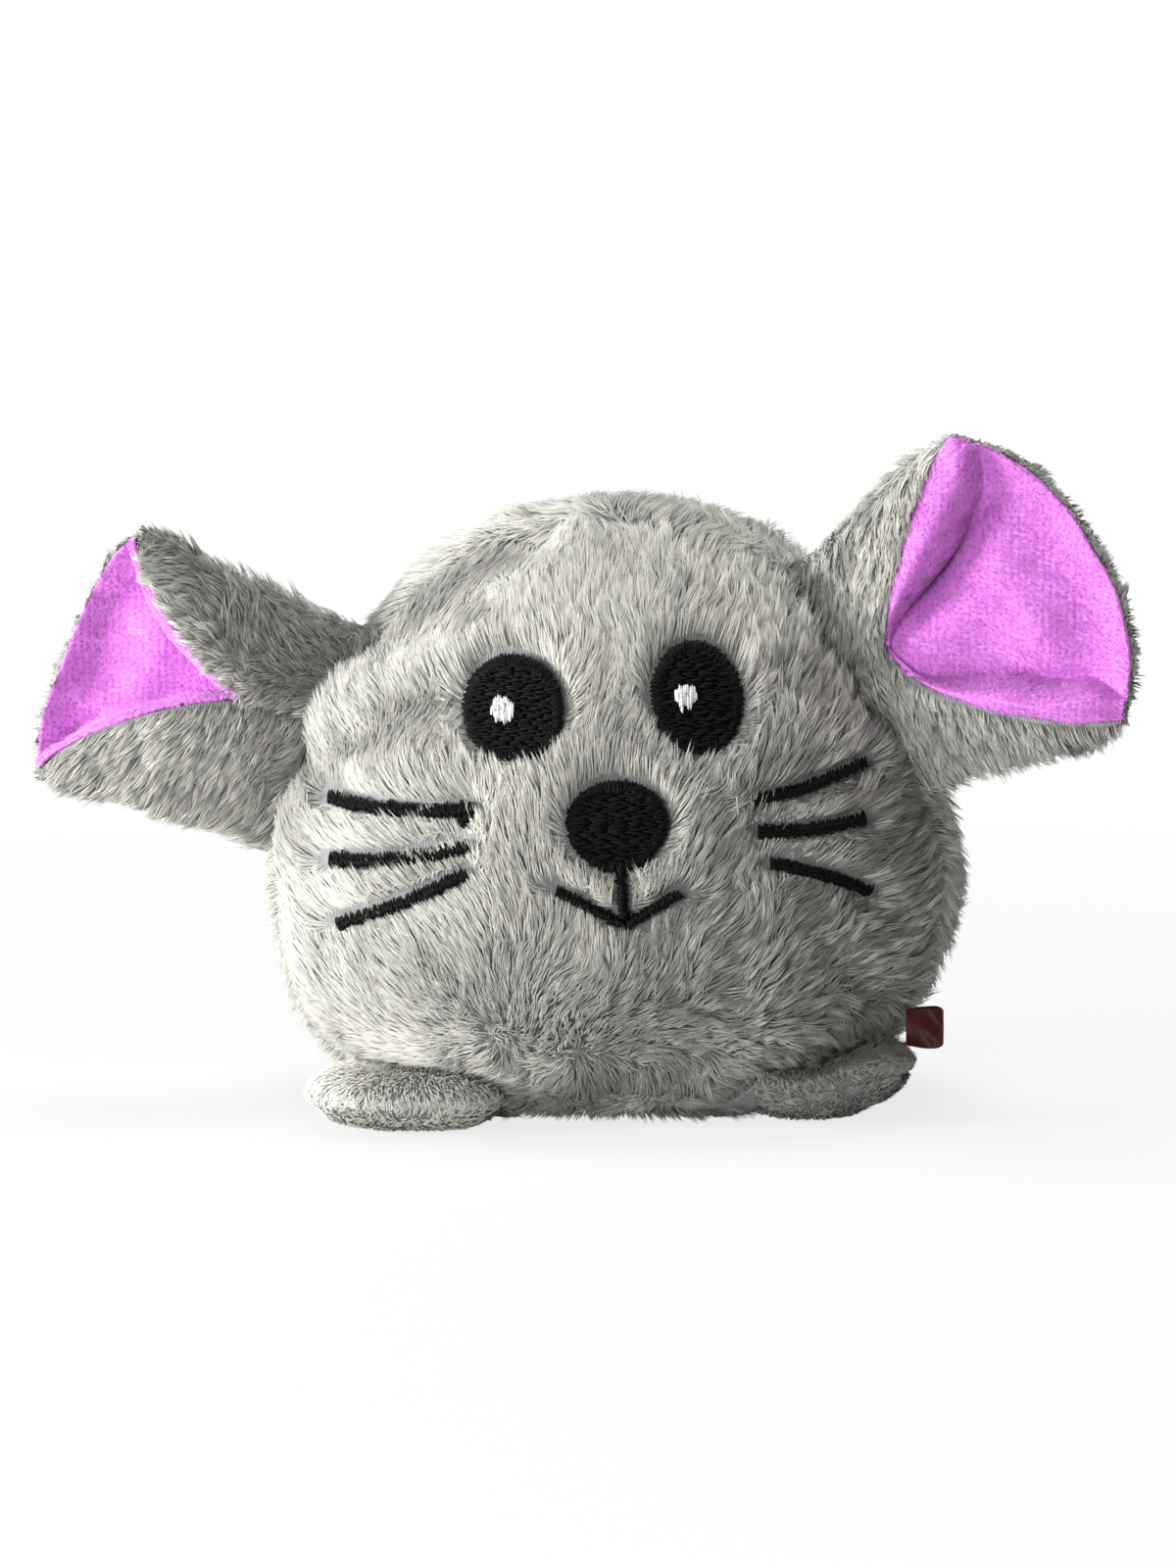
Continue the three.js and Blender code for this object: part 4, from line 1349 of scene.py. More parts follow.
class MOUSETOY_OT_body(ToyOperator):
    """Sews the four plush panels of the body."""

    bl_idname = "mousetoy.body"
    bl_label = "Body panels"

    def build(self):
        for name, cloth in body_panels(BodyForm(), settings().nap.depth / MM).items():
            title = f"{name}_cloth"
            mesh = shell_mesh(title, cloth, PLUSH_THICKNESS, name == "base_panel")
            piece = place_piece(title, mesh, "plush_cloth", "body", (name,))
            self.nap(name, cloth)

    def nap(self, name, cloth):
        sizes = settings().nap
        seed = SEEDS["body_nap"] + len(name)
        draw = np.random.default_rng(seed)
        roots, normals, _ = scatter(cloth, sizes.per_square_centimetre / 100, draw)
        reach, tone, root_shade_lifted = sizes.strand / MM, 0.0, 0.0
        if name == "face_panel":
            beside = off_embroidery(roots)
            keep = (beside[0][0] > CLEAR_OF_FILLED) & (beside[1][0] > CLEAR_OF_STROKES)
            roots, normals = roots[keep], normals[keep]
            beside = [(clear[keep], away[keep]) for clear, away in beside]
            flow, lift, share, tone = face_flow(roots)
            flow, reach, root_shade_lifted = part_round_stitching(roots, flow, reach * share, beside)
        elif name == "base_panel":
            flow, lift, share = base_flow(roots)
            reach = reach * share
        else:
            flow, lift = back_flow(roots)
        # Nap is shorter in the creases round the ears and darkened there with painted shade, more
        # tufted and tousled towards the right, where its tufts differ more in painted shade, and
        # calm beside stitching
        crease = near_ears(roots)
        reach, tone = reach * (1 - 0.25 * crease), tone - 0.46 * crease
        # Towards the right, away from the lamps, tufts differ more in painted shade
        right = smooth((roots[:, :1] + 5) / 28)
        calm = 1 - 0.7 * np.reshape(root_shade_lifted, (-1, 1))
        grow(
            f"{name}_nap", roots, normals, flow, lift, reach, draw, seed, "body",
            tone=tone, contrast=mix(0.75, 3.5, right[:, 0]), root_shade_lifted=root_shade_lifted,
            clump=mix(0.48, 0.72, right) * calm, tousle=mix(0.18, 0.34, right) * calm,
            uneven=mix(0.1, 0.6, right) * calm,
        )


class MOUSETOY_OT_stuffing(ToyOperator):
    """Fills the body with fibre round a small sachet."""

    bl_idname = "mousetoy.stuffing"
    bl_label = "Filling and sachet"

    def build(self):
        form = BodyForm()
        rows = np.radians(np.linspace(-LAST_ROW, LAST_ROW, FILLING_GRID[0]))[:, None]
        points = form.point(full_turn(FILLING_GRID[1]), rows, FILLING_INSET)
        ways = grid_normals(points, form.middle)
        lumps = 0.35 * ripple(points, 9.0, SEEDS["filling_lumps"])[..., :1]
        tufts = 0.18 * ripple(points, 3.0, SEEDS["filling_tufts"])[..., :1]
        points = points + ways * (lumps + tufts)
        points[:, -1] = points[:, 0]
        points[..., 2] = np.maximum(points[..., 2], LOWEST_FILLING)
        title = "fibre_filling_mass"
        mesh = shell_mesh(title, Cloth(points, form.middle), FILLING_THICKNESS, True)
        nodes = ("fibre_filling",)
        piece = place_piece(title, mesh, "white_fibre", "body", nodes)
        self.sachet()

    def sachet(self):
        """A pillow of two sheets that are sewn together all round."""
        low, high = (np.array(corner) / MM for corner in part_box("catnip_sachet"))
        centre, half = (low + high) / 2, (high - low) / 2
        u, v = np.meshgrid(np.linspace(-1, 1, 41), np.linspace(-1, 1, 41))
        puff = np.maximum(0, (1 - u**6) * (1 - v**6)) ** 0.55
        pinch = 1 - 0.06 * (u**2) * (v**2)
        x = centre[0] + half[0] * u * pinch
        z = centre[2] + half[2] * v * pinch
        layers = []
        for side in (1, -1):
            y = centre[1] - side * (0.25 + (half[1] - 0.35) * puff)
            layers.append(np.stack([x, y, z], -1).reshape(-1, 3))
        deep = u.size
        index = np.arange(deep).reshape(u.shape)
        quads = grid_quads(index)
        ring = np.concatenate([index[0, :-1], index[:-1, -1], index[-1, :0:-1], index[:0:-1, 0]])
        after = np.roll(ring, -1)
        seam = np.stack([after, ring, ring + deep, after + deep], -1)
        title = "catnip_sachet_pillow"
        mesh = new_mesh(title, np.concatenate(layers), [quads, quads[:, ::-1] + deep, seam])
        nodes = ("catnip_sachet",)
        piece = place_piece(title, mesh, "natural_cloth", "body", nodes)


class EarForm:
    """A folded ear in its own frame: outward, back and along the seam."""

    def __init__(self, name):
        self.name = name
        sizes = getattr(settings(), name)
        for key in sizes.__annotations__:
            setattr(self, key, getattr(sizes, key) / (1 if key.endswith("share") else MM))
        left = name == "left_ear"
        hinge, outward, along = (np.array(v) for v in EAR_SEATS[name])
        back = np.cross(outward, along) if left else np.cross(along, outward)
        self.hinge, self.axes = hinge, np.stack([outward, back, along])
        # How far the ends of the seam curve inwards, as the body's side does there
        crown, width = settings().body.crown_rise / MM, settings().body.half_width / MM
        self.sag = self.root_half_height**2 * width / (2 * crown**2)

    def half_height(self, share):
        drawn_in = self.waist * np.sin(math.pi * np.clip(share, 0, 1))
        return mix(self.root_half_height, self.tip_half_height, smooth(share / 0.7)) - drawn_in

    def depth(self, share, middle, tip):
        share = np.maximum(share, 0)
        line = mix(EAR_ROOT_RADIUS, tip, share**0.6)
        bulge = (middle - mix(EAR_ROOT_RADIUS, tip, 0.6)) * np.sin(math.pi * share**0.8)
        return line + bulge

    def opening(self, share):
        """How far the mouth reaches above and below the middle of the seam."""
        pinch = self.pinch / self.length
        opened = np.clip((share - pinch) / (1 - pinch), 0, 1)
        half = self.half_height(share)
        rise = self.pinch_rise * (1 - opened)
        opened = mix(opened, np.sin(math.pi / 2 * opened), self.mouth_bow_share)
        above = rise + np.maximum(0.06, opened**self.upper_mouth_share * half)
        below = np.maximum(0.06, opened**self.lower_mouth_share * half) - rise
        return np.minimum(above, half), np.minimum(below, half)

    def place(self, share, height, depth):
        """Points in the toy's own frame."""
        share, height, depth = np.broadcast_arrays(share, height, depth)
        across = np.minimum(1, np.abs(height) / self.half_height(share))
        x = (
            self.length * share
            - self.sag * (1 - share) ** 2 * across**2
            - self.tip_round * share**3 * across**self.round_share
        )
        seat = np.where(height > 0, across**2, 0) * np.clip(1 - share, 0, 1.1) ** 2
        x, depth = x - self.seat_sink * seat, depth + self.seat_back * seat
        local = np.stack([x, depth, height + mix(self.root_rise, self.tip_rise, share)], -1)
        return self.hinge + local @ self.axes

    def folded(self, share, turn, inset):
        """The folded cloth: across the back, round both folds and on to the lapels."""
        side = np.sin(turn)
        cup = self.depth(share, self.cup_depth, self.tip_cup_depth)
        lapel = self.depth(share, self.lapel_depth, self.tip_lapel_depth)
        reach = np.where(side > 0, cup, lapel)
        reach = np.maximum(reach - inset, 0.3 * reach)
        height = -(self.half_height(share) - inset) * np.cos(turn)
        return height, reach * side

    def hinge_bend(self):
        """Where the cloth starts to bend off the body, and where it follows the ear."""
        outward = self.axes[0]
        start, end = self.hinge - outward * 2.5, self.hinge + outward * 4.5
        return ("body", tuple(start * MM), tuple(end * MM))


class MOUSETOY_OT_ears(ToyOperator):
    """Folds the two ears, with their velour lining and their nap."""

    bl_idname = "mousetoy.ears"
    bl_label = "Ears"

    def build(self):
        for number, name in enumerate(EAR_SEATS):
            ear = EarForm(name)
            cloth = self.back_cloth(ear)
            title, nodes = f"{name}_back_cloth", (f"{name}_back",)
            mesh = shell_mesh(title, cloth, PLUSH_THICKNESS)
            bend = ear.hinge_bend()
            piece = place_piece(title, mesh, "plush_cloth", name, nodes, bend)
            self.nap(ear, cloth, SEEDS["ear_nap"] + number)
            self.rim(ear, cloth, SEEDS["ear_rim"] + number)
            self.lining(ear, SEEDS["lining_nap"] + number)

    def back_cloth(self, ear):
        """The folded back, from one edge of the mouth round to the other."""
        share = np.linspace(*EAR_REACH, EAR_GRID[0])[:, None]
        above, below = (np.arcsin(reach / ear.half_height(share)) for reach in ear.opening(share))
        start, end = -math.pi / 2 + below, 1.5 * math.pi - above
        turn = start + (end - start) * np.linspace(0, 1, EAR_GRID[1])[None, :]
        height, depth = ear.folded(share, turn, EAR_INSET)
        points = ear.place(share, height, depth)
        inside = ear.place(share, 0.0, 0.6)
        cloth = Cloth(points, inside)
        wrinkle = 0.3 * ripple(points, 8.0, SEEDS["ear_wrinkles"])[..., :1]
        wrinkle = wrinkle * smooth(share / 0.2)[..., None]
        return Cloth(points + cloth.normals * wrinkle, inside)

    def nap(self, ear, cloth, seed):
        sizes = settings().nap
        draw = np.random.default_rng(seed)
        roots, normals, spots = scatter(cloth, sizes.per_square_centimetre / 100, draw)
        share, off = spots[:, 0], np.abs(spots[:, 1] - 0.5)
        upper = spots[:, 1:] > 0.5
        # The cloth goes over a fold a quarter of its breadth from its middle, and on to the front
        front = smooth((off - 0.25) / 0.1)[:, None]
        flow, tone = self.lapel_flow(ear, share, off, upper, front)
        # Painted shade darkens the nap in the crease by the ear's root
        tone = tone * front[:, 0] - 0.2 * (1 - smooth(share / 0.15))
        flow = mix(ear.axes[0] + np.array([0, 0, -0.45]), flow, front)
        reach = sizes.strand / MM * 0.8 * (1 - 0.6 * smooth((share - 0.8) / 0.2))
        reach = reach * (1 - 0.3 * smooth((off - 0.44) / 0.06))
        tousle = np.where(upper & (ear.name == "left_ear"), 0.42, 0.18)
        grow(
            f"{ear.name}_back_nap", roots, normals, flow, LIFTS["ear"], reach, draw, seed,
            ear.name, tone=tone, contrast=1.9, hinge=ear.hinge_bend(), tousle=tousle, uneven=0.38,
        )

    def lapel_flow(self, ear, share, off, upper, front):
        """The way and the tone of the nap on the folded front, which is lighter by the mouth.

        Off is the share of the cloth's breadth from its middle, and half of it is the mouth's edge.
        """
        outward, _, along = ear.axes
        edge = smooth((off - 0.462) / 0.03)
        if ear.name == "left_ear":
            above, below = outward * 0.96 + along * 0.24, outward * 0.44 - along * 0.89
            # The upper lapel is darkened with painted shade, less of it by the mouth's edge
            above_tone, below_tone = mix(-0.58, 0.06, edge), -0.02
        else:
            above = -outward * 0.24 - along * 0.97
            below = outward * mix(0.3, -0.45, share)[:, None] - along
            # Painted shade darkens the upper lapel towards the fold and right at the mouth's seam;
            # painted light lightens it by the mouth's edge
            folded = front[:, 0] * smooth((0.43 - off) / 0.08)
            by_seam = smooth((off - 0.479) / 0.012)
            above_tone = mix(-0.08, 0.2, edge) - 0.5 * by_seam - 0.36 * folded
            below_tone = -0.05
        return np.where(upper, above, below), np.where(upper[:, 0], above_tone, below_tone)

    def rim(self, ear, cloth, seed):
        """The tufts that stand round the raw outer edge."""
        draw = np.random.default_rng(seed)
        across = np.linspace(-0.1, 0.75, 4)[:, None, None]
        outward = ear.axes[0]
        points = cloth.points[-1] - cloth.normals[-1] * across + outward * 0.05
        roots, normals, _ = scatter(Cloth(points, points - outward), RIM_STRANDS, draw)
        flow = outward * 0.5 + np.array([0.0, -0.9, 0.0])
        flow = flow + ripple(roots, 3.0, seed) * 0.5
        reach = settings().nap.strand / MM * 0.42
        reach = np.clip(reach * (0.75 + 0.45 * ripple(roots, 2.4, seed + 1)[:, 0]), 0.7, 2.4)
        grow(
            f"{ear.name}_rim_nap", roots, normals, flow, LIFTS["rim"], reach, draw, seed,
            ear.name, tone=-0.08, hinge=ear.hinge_bend(), per_clump=7,
        )

    def lining(self, ear, seed):
        cloth = self.lining_cloth(ear)
        title, nodes = f"{ear.name}_lining_cloth", (f"{ear.name}_lining",)
        mesh = shell_mesh(title, cloth, THIN_THICKNESS)
        bend = ear.hinge_bend()
        place_piece(title, mesh, "velour_cloth", ear.name, nodes, bend)
        sizes = settings().nap
        draw = np.random.default_rng(seed)
        roots, normals, spots = scatter(cloth, sizes.velour_per_square_centimetre / 100, draw)
        outward, _, along = ear.axes
        flow = outward + along * ((0.5 - spots[:, 1]) * 0.8)[:, None] + np.array([0, 0, -0.3])
        reach = sizes.velour_strand / MM
        # The lining's nap takes painted shade on the left ear and painted light on the right
        grow(
            f"{ear.name}_lining_nap", roots, normals, flow, LIFTS["lining"], reach, draw, seed,
            ear.name, pile="velour", tone=LINING_PAINTED_TONES[ear.name], hinge=bend,
            clump=0.45, tousle=0.5, per_clump=4,
        )

    def lining_cloth(self, ear):
        """The lining in the mouth: a strip that rolls in from each edge, a crease, and the cup."""
        (strip, sink, roll), (low_strip, low_sink, low_roll) = LINING_STRIPS[ear.name]
        share = np.linspace(ear.pinch / ear.length - 0.02, 0.965, LINING_GRID[0])[:, None]
        half = ear.half_height(share)
        inner = half - LINING_INSET
        above, below = ear.opening(share)
        across = np.linspace(0, 1, LINING_GRID[1])[None, :]
        height = inner / half * mix(above, -below, across)
        lapel = ear.depth(share, ear.lapel_depth, ear.tip_lapel_depth)
        slope = np.sqrt(1 - (mix(above, below, smooth(across)) / half) ** 2)
        edge = -LINING_FORWARD - np.maximum(lapel - 2.3, 0.1 * lapel) * slope
        cup = ear.depth(share, ear.cup_depth, ear.tip_cup_depth)
        hollow = np.clip(1 - (height / inner) ** 2, 0, 1) ** 0.8
        arc = (cup - 2.2) * hollow - LINING_FORWARD
        floor = mix(mix(edge, 1.0, smooth(share * 2.2)), arc, smooth((share - 0.6) / 0.35))
        opened = (above + below) / 2
        width = strip * smooth(share * 1.7) * (1 - 0.55 * smooth((share - 0.68) / 0.3))
        width = np.minimum(width, opened * 0.85)
        depth = self.creased(floor, edge, opened * 2 * across, width, sink, roll, share, 0.88)
        width = low_strip * smooth(share * 1.8) * (1 - 0.5 * smooth((share - 0.7) / 0.25))
        width = np.minimum(width, opened * 0.6)
        lower = opened * 2 * (1 - across)
        depth = self.creased(depth, edge, lower, width, low_sink, low_roll, share, 0.6)
        depth = np.minimum(depth, (cup - 2.4) * hollow - LINING_FORWARD)
        flare = ear.axes[0] * LINING_FLARES[ear.name] * smooth((share - 0.85) / 0.1)[..., None]
        points = ear.place(share, height, depth) + flare
        behind = ear.place(share, height, depth + 5.0) + flare
        cloth = Cloth(points, behind)
        wrinkle = 0.16 * ripple(points, 7.0, SEEDS["lining_wrinkles"])[..., :1]
        wrinkle = wrinkle * smooth(share / 0.3)[..., None]
        return Cloth(points + cloth.normals * wrinkle, behind)

    def creased(self, floor, edge, distance, width, sink, roll, share, fade):
        """Depth across a strip that rolls in from an edge, dives into a crease and comes up."""
        width = np.maximum(width, 0.2)
        strength = smooth(share * 3) * (1 - smooth((share - fade) / (1 - fade)))
        crease = floor + sink * strength
        inwards = np.clip(distance / width, 0, 1)
        rolled = roll * strength * np.sin(math.pi * inwards) ** 0.8
        strip = edge + (crease - edge) * inwards**9 - rolled
        beyond = floor + sink * strength * np.exp(-np.maximum(distance - width, 0) / 2.2)
        return np.where(distance < width, strip, beyond)


class MOUSETOY_OT_feet(ToyOperator):
    """Stuffs the two feet that lie under the belly."""

    bl_idname = "mousetoy.feet"
    bl_label = "Feet"

    def build(self):
        form = BodyForm()
        split = self.sole_latitude()
        parts = {
            "upper": (split + SOLE_GAP, math.radians(LAST_ROW), FOOT_ROWS["upper"]),
            "sole": (math.radians(-LAST_ROW), split - SOLE_GAP, FOOT_ROWS["sole"]),
        }
        seed = SEEDS["foot_nap"]
        for name in FOOT_PLACES:
            for part, rows in parts.items():
                title = f"{name}_{part}"
                cloth = self.cloth(form, name, np.linspace(*rows)[:, None])
                mesh = shell_mesh(f"{title}_cloth", cloth, THIN_THICKNESS, True)
                piece = place_piece(mesh.name, mesh, "plush_cloth", name, (title,))
                self.nap(form, name, part, cloth, seed)
                seed += 1

    def sole_latitude(self):
        """Where the seam between a foot's upper and its sole runs."""
        height = settings().foot.height / MM
        level = 2 * (SOLE_TOP + 0.5) / (height + 0.5) - 1
        return math.asin(signed_power(level, FOOT_FULLNESS / 2))

    def cloth(self, form, name, latitude):
        sizes = settings().foot
        half_width, half_depth = sizes.half_width / MM, sizes.half_depth / MM
        across, back = FOOT_PLACES[name]
        turn = full_turn(FOOT_COLUMNS)
        power = 2 / FOOT_FULLNESS
        girth = np.cos(latitude) ** power
        level = (1 + signed_power(np.sin(latitude), power)) / 2
        x = across + (half_width - FOOT_INSET) * girth * signed_power(np.cos(turn), power)
        y = back + (half_depth - FOOT_INSET) * girth * signed_power(np.sin(turn), power)
        z = mix(LOWEST_CLOTH, sizes.height / MM - FOOT_INSET, level) + 0 * turn
        rim = ((x - across) / half_width) ** 2 + ((y - back) / half_depth) ** 2
        z = z + TOE_LIFTS[name] * rim**1.5 * (1 - level)
        z = z + FOOT_SWELLS[name] * level * smooth((x - across) / 8)
        ceiling, under = form.underside(x, y, 0.0)
        z = np.where(under, np.minimum(z, np.maximum(ceiling - 0.8, 0.4)), z)
        seam = bell(z - SOLE_TOP, 0.8)
        x, y = x - 0.5 * seam * np.cos(turn), y - 0.5 * seam * np.sin(turn)
        points = np.stack([x, y, z], -1)
        wrinkles = 0.2 * ripple(points, 7.0, SEEDS["foot_wrinkles"])
        points = points + wrinkles * np.array([1, 1, 0])
        points[:, -1] = points[:, 0]
        return Cloth(points, np.array([across, back, 3.2]))

    def nap(self, form, name, part, cloth, seed):
        sizes = settings().nap
        draw = np.random.default_rng(seed)
        roots, normals, _ = scatter(cloth, sizes.per_square_centimetre / 100, draw)
        ceiling, under = form.underside(roots[:, 0], roots[:, 1], 0.0)
        keep = (~under | (roots[:, 2] < ceiling - 0.5)) & (roots[:, 2] > 0.5)
        roots, normals = roots[keep], normals[keep]
        across, back = FOOT_PLACES[name]
        flow = unit(roots - np.array([across, back + 6.0, 6.0]))
        flow = flow + np.array([0, 0, 0.25 if part == "upper" else -0.4])
        reach = sizes.strand / MM * 0.45
        # Painted light on the left foot, the belly's painted shadow on the right one
        tone = mix(*FOOT_PAINTED_TONES[name], smooth((roots[:, 0] - across) / 12))
        grow(
            f"{name}_{part}_nap", roots, normals, flow, LIFTS["foot"], reach, draw, seed, name,
            tone=tone, clump=0.45, tousle=0.12, per_clump=4,
        )


# Embroidery


def thread_paths(form, starts, ends, top, arch):
    """Stitches between places in the front view, laid over the face and diving in at both ends."""
    along = np.linspace(0, 1, 7)[None, :, None]
    flat = starts[:, None] * (1 - along) + ends[:, None] * along
    raised = np.sin(math.pi * along[..., 0]) ** 0.45
    y = form.front_face(flat[..., 0], flat[..., 1], top + arch * (1 - raised))
    return np.stack([flat[..., 0], y, flat[..., 1]], -1)


def stitch_piece(name, form, starts, ends, top, arch, draw, colour="black"):
    """One piece of embroidery from its stitches' ends."""
    top = top + draw.normal(size=(len(starts), 1)) * 0.05
    paths = thread_paths(form, starts, ends, top, arch)
    x, y, z = np.moveaxis(paths[:, paths.shape[1] // 2], -1, 0)
    rise = (z - form.waist) / form.crown**2
    normals = unit(np.stack([x / form.half_width**2, y / form.front**2, rise], -1))
    radii = np.full(paths.shape[:2], THREAD_RADIUS) * draw.uniform(0.85, 1.15, (len(starts), 1))
    radii[:, [0, -1]] *= 0.5
    shade = np.clip(0.5 + 0.18 * draw.normal(size=len(starts)), *SHADES)
    title = f"{name}_stitches"
    mesh = strand_mesh(title, paths, radii, normals, shade, sides=5, pointed=False, softness=0.1)
    place_piece(title, mesh, f"{colour}_thread", "body", (name,))


def fill_rows(outline, step, stitch, ragged, draw, slant=0.0):
    """Ends of the stitches that fill an outline with rows across it."""
    centre = outline.mean(0)
    lean = np.array([[math.cos(slant), math.sin(slant)], [-math.sin(slant), math.cos(slant)]])
    turned = (outline - centre) @ lean.T
    after = np.roll(turned, -1, axis=0)
    starts, ends = [], []
    for z in np.arange(turned[:, 1].min() + step * 0.4, turned[:, 1].max(), step):
        crosses = (turned[:, 1] - z) * (after[:, 1] - z) < 0
        share = (z - turned[crosses, 1]) / (after[crosses, 1] - turned[crosses, 1])
        xs = turned[crosses, 0] + share * (after[crosses, 0] - turned[crosses, 0])
        if len(xs) < 2:
            continue
        low = xs.min() - draw.uniform(-0.3, 1.0) * ragged
        high = xs.max() + draw.uniform(-0.3, 1.0) * ragged
        breaks = np.arange(low - draw.uniform(0, stitch), high, stitch)
        breaks = [b + draw.normal() * stitch * 0.12 for b in breaks if low + 0.5 < b < high - 0.5]
        marks = [low, *breaks, high]
        for first, second in zip(marks[:-1], marks[1:]):
            starts.append((first - 0.1, z + draw.normal() * step * 0.18))
            ends.append((second + 0.1, z + draw.normal() * step * 0.18))
    return (np.array(v) @ lean + centre for v in (starts, ends))


def marks_along(line, step):
    """How far along a line each of its points lies, and marks at even steps along it."""
    span = np.concatenate([[0], np.cumsum(np.linalg.norm(np.diff(line, axis=0), axis=1))])
    return span, np.arange(0, span[-1], step)


def places_at(marks, span, line, period=None):
    return np.stack([np.interp(marks, span, line[:, k], period=period) for k in (0, 1)], -1)


def edge_stitches(outline, step, reach, draw):
    """Short stitches across an outline's edge, which make it ragged all round."""
    closed = np.concatenate([outline, outline[:1]])
    span, marks = marks_along(closed, step)
    marks = marks + draw.normal(size=len(marks)) * step * 0.3
    place = places_at(marks, span, closed, period=span[-1])
    way = unit(place - outline.mean(0))
    outer = place + way * (draw.uniform(0.05, 1.0, (len(place), 1)) * reach)
    inner = place - way * (0.9 + draw.uniform(0, 0.6, (len(place), 1)))
    return inner, outer


def filled_piece(name, form, outline, stitch, ragged, draw):
    """A filled shape: its ground, rows of stitches across it and short ones round its edge."""
    ground_piece(f"{name}_pad", form, outline)
    rows = fill_rows(outline, ROW_STEP, stitch, ragged=0.3, draw=draw)
    edge = edge_stitches(outline, EDGE_STEP, ragged, draw)
    starts, ends = (np.concatenate(pair) for pair in zip(rows, edge))
    stitch_piece(name, form, starts, ends, FILLED_DEPTH, FILLED_ARCH, draw)


def ground_piece(name, form, outline):
    """The dense black ground under a filled shape, domed and closed."""
    centre = outline.mean(0)
    rings = np.linspace(0.0, 1.0, 12)[:, None, None]
    closed = np.concatenate([outline, outline[:1]])
    flat = centre + (closed - centre)[None] * np.maximum(rings, 0.02)
    inset = GROUND_DEPTH + 0.9 * rings[..., 0] ** 6
    y = form.front_face(flat[..., 0], flat[..., 1], inset)
    points = np.stack([flat[..., 0], y, flat[..., 1]], -1)
    mesh = shell_mesh(name, Cloth(points, form.middle), GROUND_THICKNESS, True)
    places = np.array([v.co for v in mesh.vertices])[:, [0, 2]]
    lay_map(mesh, np.array([[0.35, 0.5]]) + (places - places.mean(0)) * 8)
    place_piece(name, mesh, "black_thread", "body")


def stroke_piece(name, form, seed):
    """A stroke of satin stitches, laid across its lines."""
    draw = np.random.default_rng(seed)
    starts, ends = [], []
    width, *parts = STROKES[name]
    for part in parts:
        line = stroke_line(*part, steps=24)
        span, marks = marks_along(line, STROKE_STEP)
        place = places_at(marks, span, line)
        way = unit(np.gradient(place, axis=0))
        side = np.stack([-way[:, 1], way[:, 0]], -1)
        side = side + way * draw.normal(size=(len(place), 1)) * 0.16
        half = width / 2
        wobble = draw.normal(size=(len(place), 1)) * 0.08
        starts.append(place + side * (wobble - half * draw.uniform(0.7, 1.15, (len(place), 1))))
        ends.append(place + side * (wobble + half * draw.uniform(0.7, 1.15, (len(place), 1))))
    starts, ends = np.concatenate(starts), np.concatenate(ends)
    stitch_piece(name, form, starts, ends, STROKE_DEPTH, STROKE_ARCH, draw)


class MOUSETOY_OT_eyes(ToyOperator):
    """Embroiders the eyes, with a white highlight on each."""

    bl_idname = "mousetoy.eyes"
    bl_label = "Eyes"

    def build(self):
        form = BodyForm()
        for seed, (name, eye) in enumerate(EYES.items(), SEEDS["eye"]):
            draw = np.random.default_rng(seed)
            outline = ellipse_outline(*eye)
            filled_piece(name, form, outline, stitch=1.9, ragged=0.42, draw=draw)
        for seed, (name, glint) in enumerate(GLINTS.items(), SEEDS["glint"]):
            draw = np.random.default_rng(seed)
            outline = ellipse_outline(*glint)
            rows = fill_rows(
                outline, GLINT_ROW_STEP, stitch=6.0, ragged=0.45, draw=draw, slant=math.pi / 2
            )
            stitch_piece(name, form, *rows, GLINT_DEPTH, GLINT_ARCH, draw, "white")


class MOUSETOY_OT_muzzle(ToyOperator):
    """Embroiders the nose, the line under it and the mouth."""

    bl_idname = "mousetoy.muzzle"
    bl_label = "Nose and mouth"

    def build(self):
        form = BodyForm()
        draw = np.random.default_rng(SEEDS["nose"])
        filled_piece("nose", form, nose_outline(), stitch=2.1, ragged=0.45, draw=draw)
        for name in ("mouth", "philtrum"):
            stroke_piece(name, form, SEEDS["muzzle_stroke"] + len(name))


class MOUSETOY_OT_whiskers(ToyOperator):
    """Embroiders the six whiskers."""

    bl_idname = "mousetoy.whiskers"
    bl_label = "Whiskers"

    def build(self):
        form = BodyForm()
        names = [name for name in STROKES if "whisker" in name]
        for seed, name in enumerate(names, SEEDS["whisker"]):
            stroke_piece(name, form, seed)


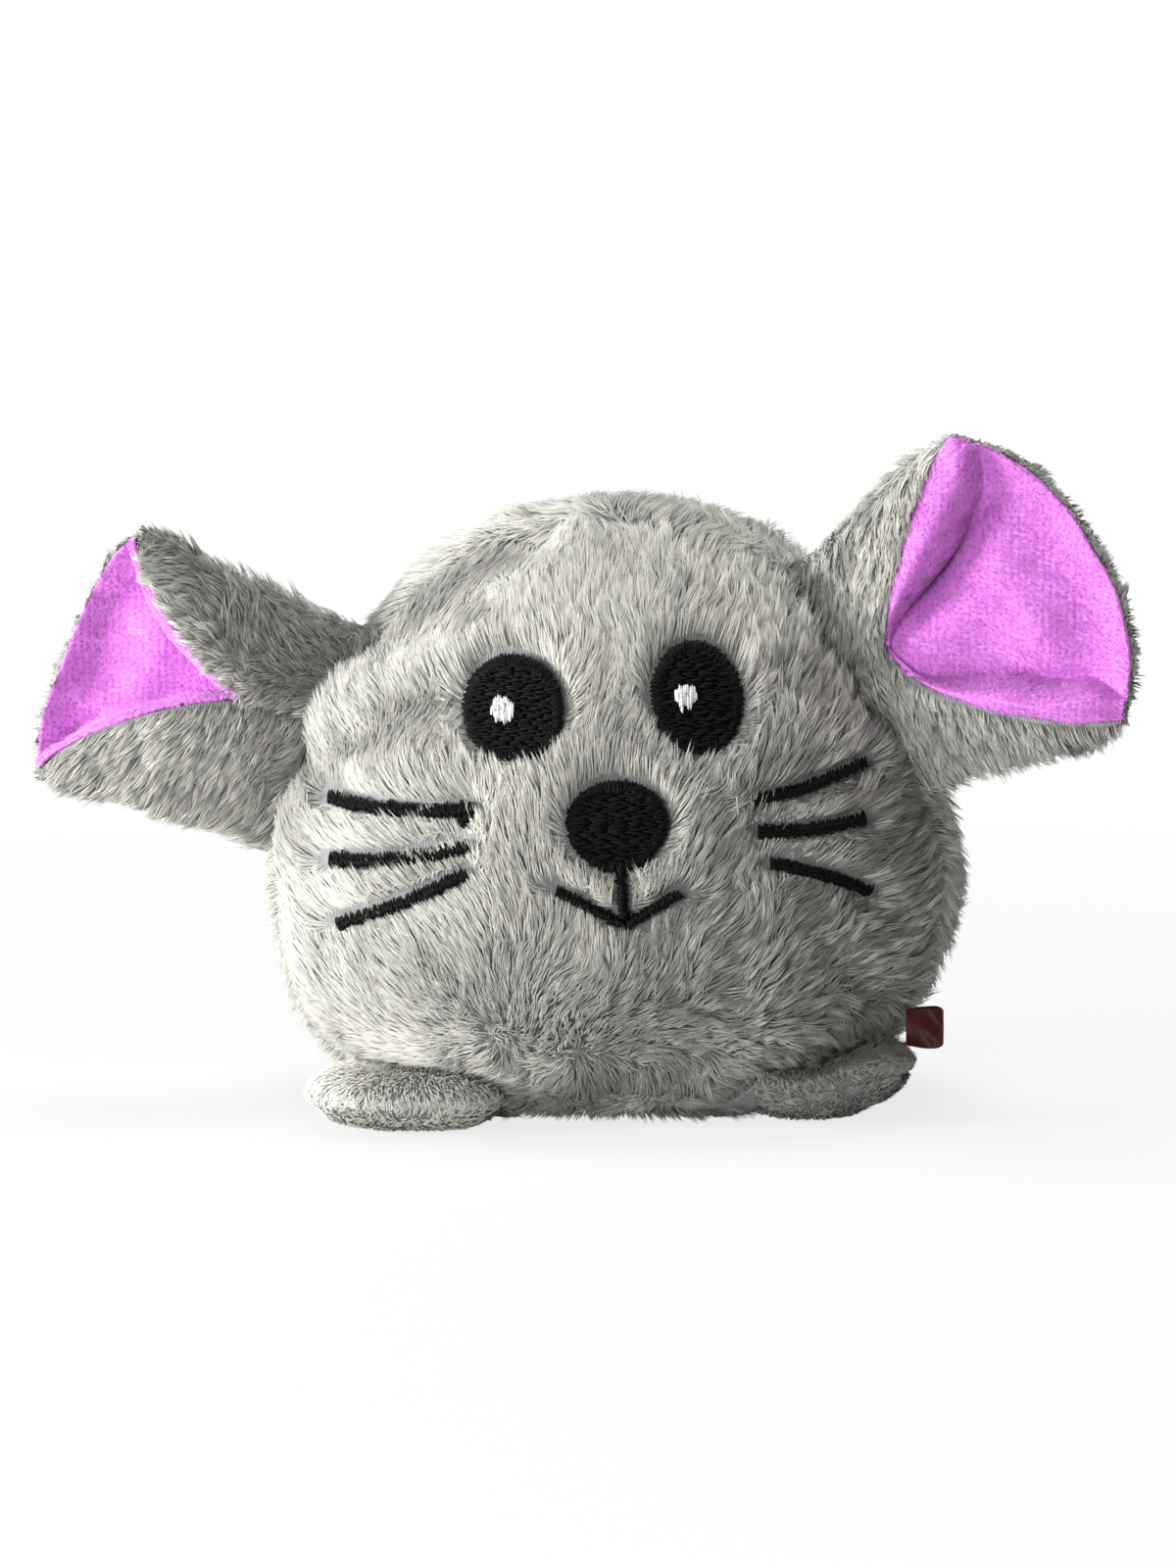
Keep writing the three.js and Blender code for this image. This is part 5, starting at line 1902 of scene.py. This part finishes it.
class MOUSETOY_OT_side_tag(ToyOperator):
    """Loops the blank ribbon in the side seam."""

    bl_idname = "mousetoy.side_tag"
    bl_label = "Side tag"

    def build(self):
        sizes = settings().tag
        reach, radius = sizes.reach / MM, sizes.loop_radius / MM
        half, thickness = sizes.height / MM / 2, sizes.thickness / MM
        middle = radius - thickness / 2
        straight = np.linspace(TAG_ROOT, reach - radius, 16)
        bend = np.linspace(-math.pi / 2, math.pi / 2, 15)[1:-1]
        sheet = np.full(16, middle)
        x = np.concatenate([straight, reach - radius + middle * np.cos(bend), straight[::-1]])
        y = np.concatenate([-sheet, middle * np.sin(bend), sheet])
        taper = np.clip((x - TAG_ROOT) / (reach - TAG_ROOT), 0, 1)
        y = y * mix(0.55, 1.0, smooth(taper * 1.5))
        over = np.clip((x - (reach - TAG_CORNER)) / TAG_CORNER, 0, 1)
        rounding = TAG_CORNER * (1 - np.sqrt(1 - over**2)) * 0.75
        height = half - rounding - 0.25 * (1 - smooth(taper * 2))
        x, y, taper = x[:, None], y[:, None], taper[:, None]
        z = height[:, None] * np.linspace(-1, 1, 25)[None, :]
        crumple = 0.16 * np.sin(2.1 * x + 1.3 * z) * taper + 0.1 * np.cos(1.9 * z + x)
        points = np.stack([x + 0 * z, y + crumple, z], -1) + np.array(TAG_SEAT)
        inside = np.array(TAG_SEAT) + np.array([reach / 3, 0, 0])
        mesh = shell_mesh("side_tag_ribbon", Cloth(points, inside), thickness)
        place_piece("side_tag_ribbon", mesh, "red_satin", "side_tag", ("side_tag",))


class MOUSETOY_PT_panel(bpy.types.Panel):
    """The toy's sizes, colours and pieces."""

    bl_idname = "MOUSETOY_PT_panel"
    bl_label = "Mouse Toy"
    bl_space_type = "VIEW_3D"
    bl_region_type = "UI"
    bl_category = "Mouse Toy"

    def draw(self, context):
        toy = context.scene.mouse_toy
        for title in ("body", "nap", "left_ear", "right_ear", "foot", "tag", "colours"):
            box = self.layout.box()
            box.label(text=title.replace("_", " ").capitalize())
            group = getattr(toy, title)
            for key in group.__annotations__:
                box.prop(group, key)
        for step in STEPS:
            self.layout.operator(step.bl_idname)


GROUPS = (
    BodySizes,
    NapSizes,
    LeftEarSizes,
    RightEarSizes,
    FootSizes,
    TagSizes,
    ToyColours,
    MouseToySettings,
)
STEPS = (
    MOUSETOY_OT_stage,
    MOUSETOY_OT_body,
    MOUSETOY_OT_stuffing,
    MOUSETOY_OT_ears,
    MOUSETOY_OT_feet,
    MOUSETOY_OT_eyes,
    MOUSETOY_OT_muzzle,
    MOUSETOY_OT_whiskers,
    MOUSETOY_OT_side_tag,
)


def register():
    for group in (*GROUPS, *STEPS, MOUSETOY_PT_panel):
        bpy.utils.register_class(group)
    bpy.types.Scene.mouse_toy = PointerProperty(type=MouseToySettings)


def unregister():
    del bpy.types.Scene.mouse_toy
    for group in reversed((*GROUPS, *STEPS, MOUSETOY_PT_panel)):
        bpy.utils.unregister_class(group)


def main():
    register()
    make_finishes()
    for step in STEPS:
        area, name = step.bl_idname.split(".")
        getattr(getattr(bpy.ops, area), name)()


if __name__ == "__main__":
    main()
